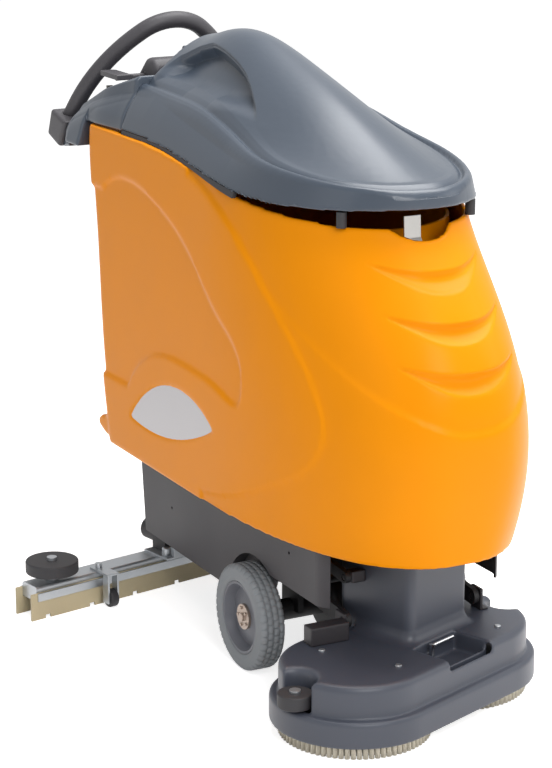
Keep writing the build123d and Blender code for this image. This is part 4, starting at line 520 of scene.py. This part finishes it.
def tyre(side):
    sign = -1.0 if side == "right" else 1.0
    steps = TREAD_BLOCKS * TREAD_STEPS
    shares = tread_shares()
    points, faces = [], []
    for i in range(steps):
        turn = 2 * math.pi * i / steps
        ring = tyre_ring(turn, shares)
        for share, r in ring:
            x = sign * (WHEEL_INNER_X + share * TYRE_WIDTH)
            points.append((x, r * math.cos(turn), WHEEL_CENTRE_Z + r * math.sin(turn)))
    size = len(ring)
    for i in range(steps):
        a = i * size
        b = (i + 1) % steps * size
        for k in range(size):
            n = (k + 1) % size
            quad = (a + k, b + k, b + n, a + n)
            faces.append(quad if sign > 0 else quad[::-1])
    mesh = mesh_from(points, faces)
    add_piece("treaded_tyre_" + side, mesh, "wheel_" + side, "tyre_grey", "tyre_" + side)


# Brushes

def strand_points(spin, ring, radius, out):
    """Points of one strand as (outwards, sideways, Z): its foot on the floor and its top in the plate."""
    outwards = TUFT_SPLAY * (TUFT_SPLAY_ALL + (1.0 - TUFT_SPLAY_ALL) * math.cos(spin))
    sideways = TUFT_SPLAY * TUFT_SPLAY_SIDE * math.sin(spin + ring)
    points = []
    for z, push in ((TUFT_FOOT, 1.0), (TUFT_TOP, 0.0)):
        u = min(radius + out * math.cos(spin) + push * outwards, TUFT_REACH)
        w = out * math.sin(spin) + push * sideways
        for k in range(STRAND_SIDES):
            edge = 2 * math.pi * k / STRAND_SIDES
            points.append((u + STRAND_R * math.cos(edge), w + STRAND_R * math.sin(edge), z))
    return points


def strand_faces(base):
    """Sides and ends of the strand whose points begin at a number."""
    faces = []
    for k in range(STRAND_SIDES):
        n = (k + 1) % STRAND_SIDES
        faces.append((base + k, base + n, base + STRAND_SIDES + n, base + STRAND_SIDES + k))
    faces.append(tuple(base + k for k in reversed(range(STRAND_SIDES))))
    faces.append(tuple(base + STRAND_SIDES + k for k in range(STRAND_SIDES)))
    return faces


def tufts(side):
    """Rings of tufts, each a bunch of strands that splay towards the floor."""
    cx, cy = BRUSH_CENTRES[side]
    points, faces = [], []
    for ring, (radius, count) in enumerate(TUFT_RINGS):
        for i in range(count):
            turn = 2 * math.pi * (i + 0.5 * (ring % 2)) / count
            for strand in range(STRANDS):
                spin = 2 * math.pi * strand / (STRANDS - 1)
                out = 0.0 if strand == STRANDS - 1 else TUFT_R
                faces += strand_faces(len(points))
                for u, w, z in strand_points(spin, ring, radius, out):
                    x = cx + u * math.cos(turn) - w * math.sin(turn)
                    y = cy + u * math.sin(turn) + w * math.cos(turn)
                    points.append((x, y, z))
    add_piece("tufts_" + side, mesh_from(points, faces), "brush_" + side, "bristle", "bristles_" + side)


# Studio

def studio():
    bpy.ops.mesh.primitive_plane_add(size=FLOOR_SIZE)
    floor = bpy.context.object
    floor.name = "studio_floor"
    floor.data.materials.append(floor_material())
    for name, (place, size, power) in LIGHTS.items():
        area_light(name, place, size, power)
    world_light()


def floor_material():
    """Pale floor that the camera sees as plain white where nothing shades it."""
    material = bpy.data.materials.new("studio_floor")
    material.use_nodes = True
    tree = material.node_tree
    link = tree.links.new
    surface = tree.nodes["Principled BSDF"]
    surface.inputs["Base Color"].default_value = (FLOOR_GREY, FLOOR_GREY, FLOOR_GREY, 1.0)
    surface.inputs["Roughness"].default_value = FLOOR_ROUGH
    surface.inputs["Specular IOR Level"].default_value = 0.0
    path = tree.nodes.new("ShaderNodeLightPath")
    glow = tree.nodes.new("ShaderNodeMath")
    glow.operation = "MULTIPLY"
    glow.inputs[1].default_value = FLOOR_GLOW
    link(seen_ray(tree, path), glow.inputs[0])
    surface.inputs["Emission Color"].default_value = WHITE
    link(glow.outputs["Value"], surface.inputs["Emission Strength"])
    return material


def seen_ray(tree, path):
    """1 for what the camera sees, straight, in a reflection or through glass."""
    total = path.outputs["Is Camera Ray"]
    for kind in ("Is Glossy Ray", "Is Transmission Ray"):
        either = tree.nodes.new("ShaderNodeMath")
        either.operation = "MAXIMUM"
        tree.links.new(total, either.inputs[0])
        tree.links.new(path.outputs[kind], either.inputs[1])
        total = either.outputs["Value"]
    return total


def area_light(name, place, size, power):
    data = bpy.data.lights.new("studio_" + name, "AREA")
    data.size = size
    data.energy = power
    lamp = bpy.data.objects.new("studio_" + name, data)
    lamp.location = place
    aim = Vector(LIGHT_AIM) - Vector(place)
    lamp.rotation_euler = aim.to_track_quat("-Z", "Y").to_euler()
    bpy.context.scene.collection.objects.link(lamp)


def world_light():
    world = bpy.data.worlds.new("studio_world")
    bpy.context.scene.world = world
    world.use_nodes = True
    tree = world.node_tree
    link = tree.links.new
    back = tree.nodes["Background"]
    back.inputs["Color"].default_value = WHITE
    path = tree.nodes.new("ShaderNodeLightPath")
    level = tree.nodes.new("ShaderNodeMapRange")
    level.inputs["To Min"].default_value = AMBIENT
    level.inputs["To Max"].default_value = BACKDROP
    link(seen_ray(tree, path), level.inputs["Value"])
    link(level.outputs["Result"], back.inputs["Strength"])


def camera():
    data = bpy.data.cameras.new("photo_camera")
    data.lens = CAMERA_LENS
    data.sensor_width = CAMERA_SENSOR
    data.clip_end = CAMERA_FAR
    eye = bpy.data.objects.new("photo_camera", data)
    turn = math.radians(CAMERA_TURN)
    tilt = math.radians(CAMERA_TILT)
    right = Vector((math.cos(turn), -math.sin(turn), 0.0))
    back = Vector((-math.sin(turn) * math.cos(tilt), -math.cos(turn) * math.cos(tilt), math.sin(tilt)))
    up = back.cross(right)
    axes = Matrix((right, up, back)).transposed()
    eye.matrix_world = Matrix.Translation(CAMERA_PLACE) @ axes.to_4x4()
    bpy.context.scene.collection.objects.link(eye)
    bpy.context.scene.camera = eye


paint_nodes()
moulded_pieces()
for side in ("right", "left"):
    tyre(side)
    tufts(side)
studio()
camera()
bpy.context.scene.view_settings.view_transform = "Standard"
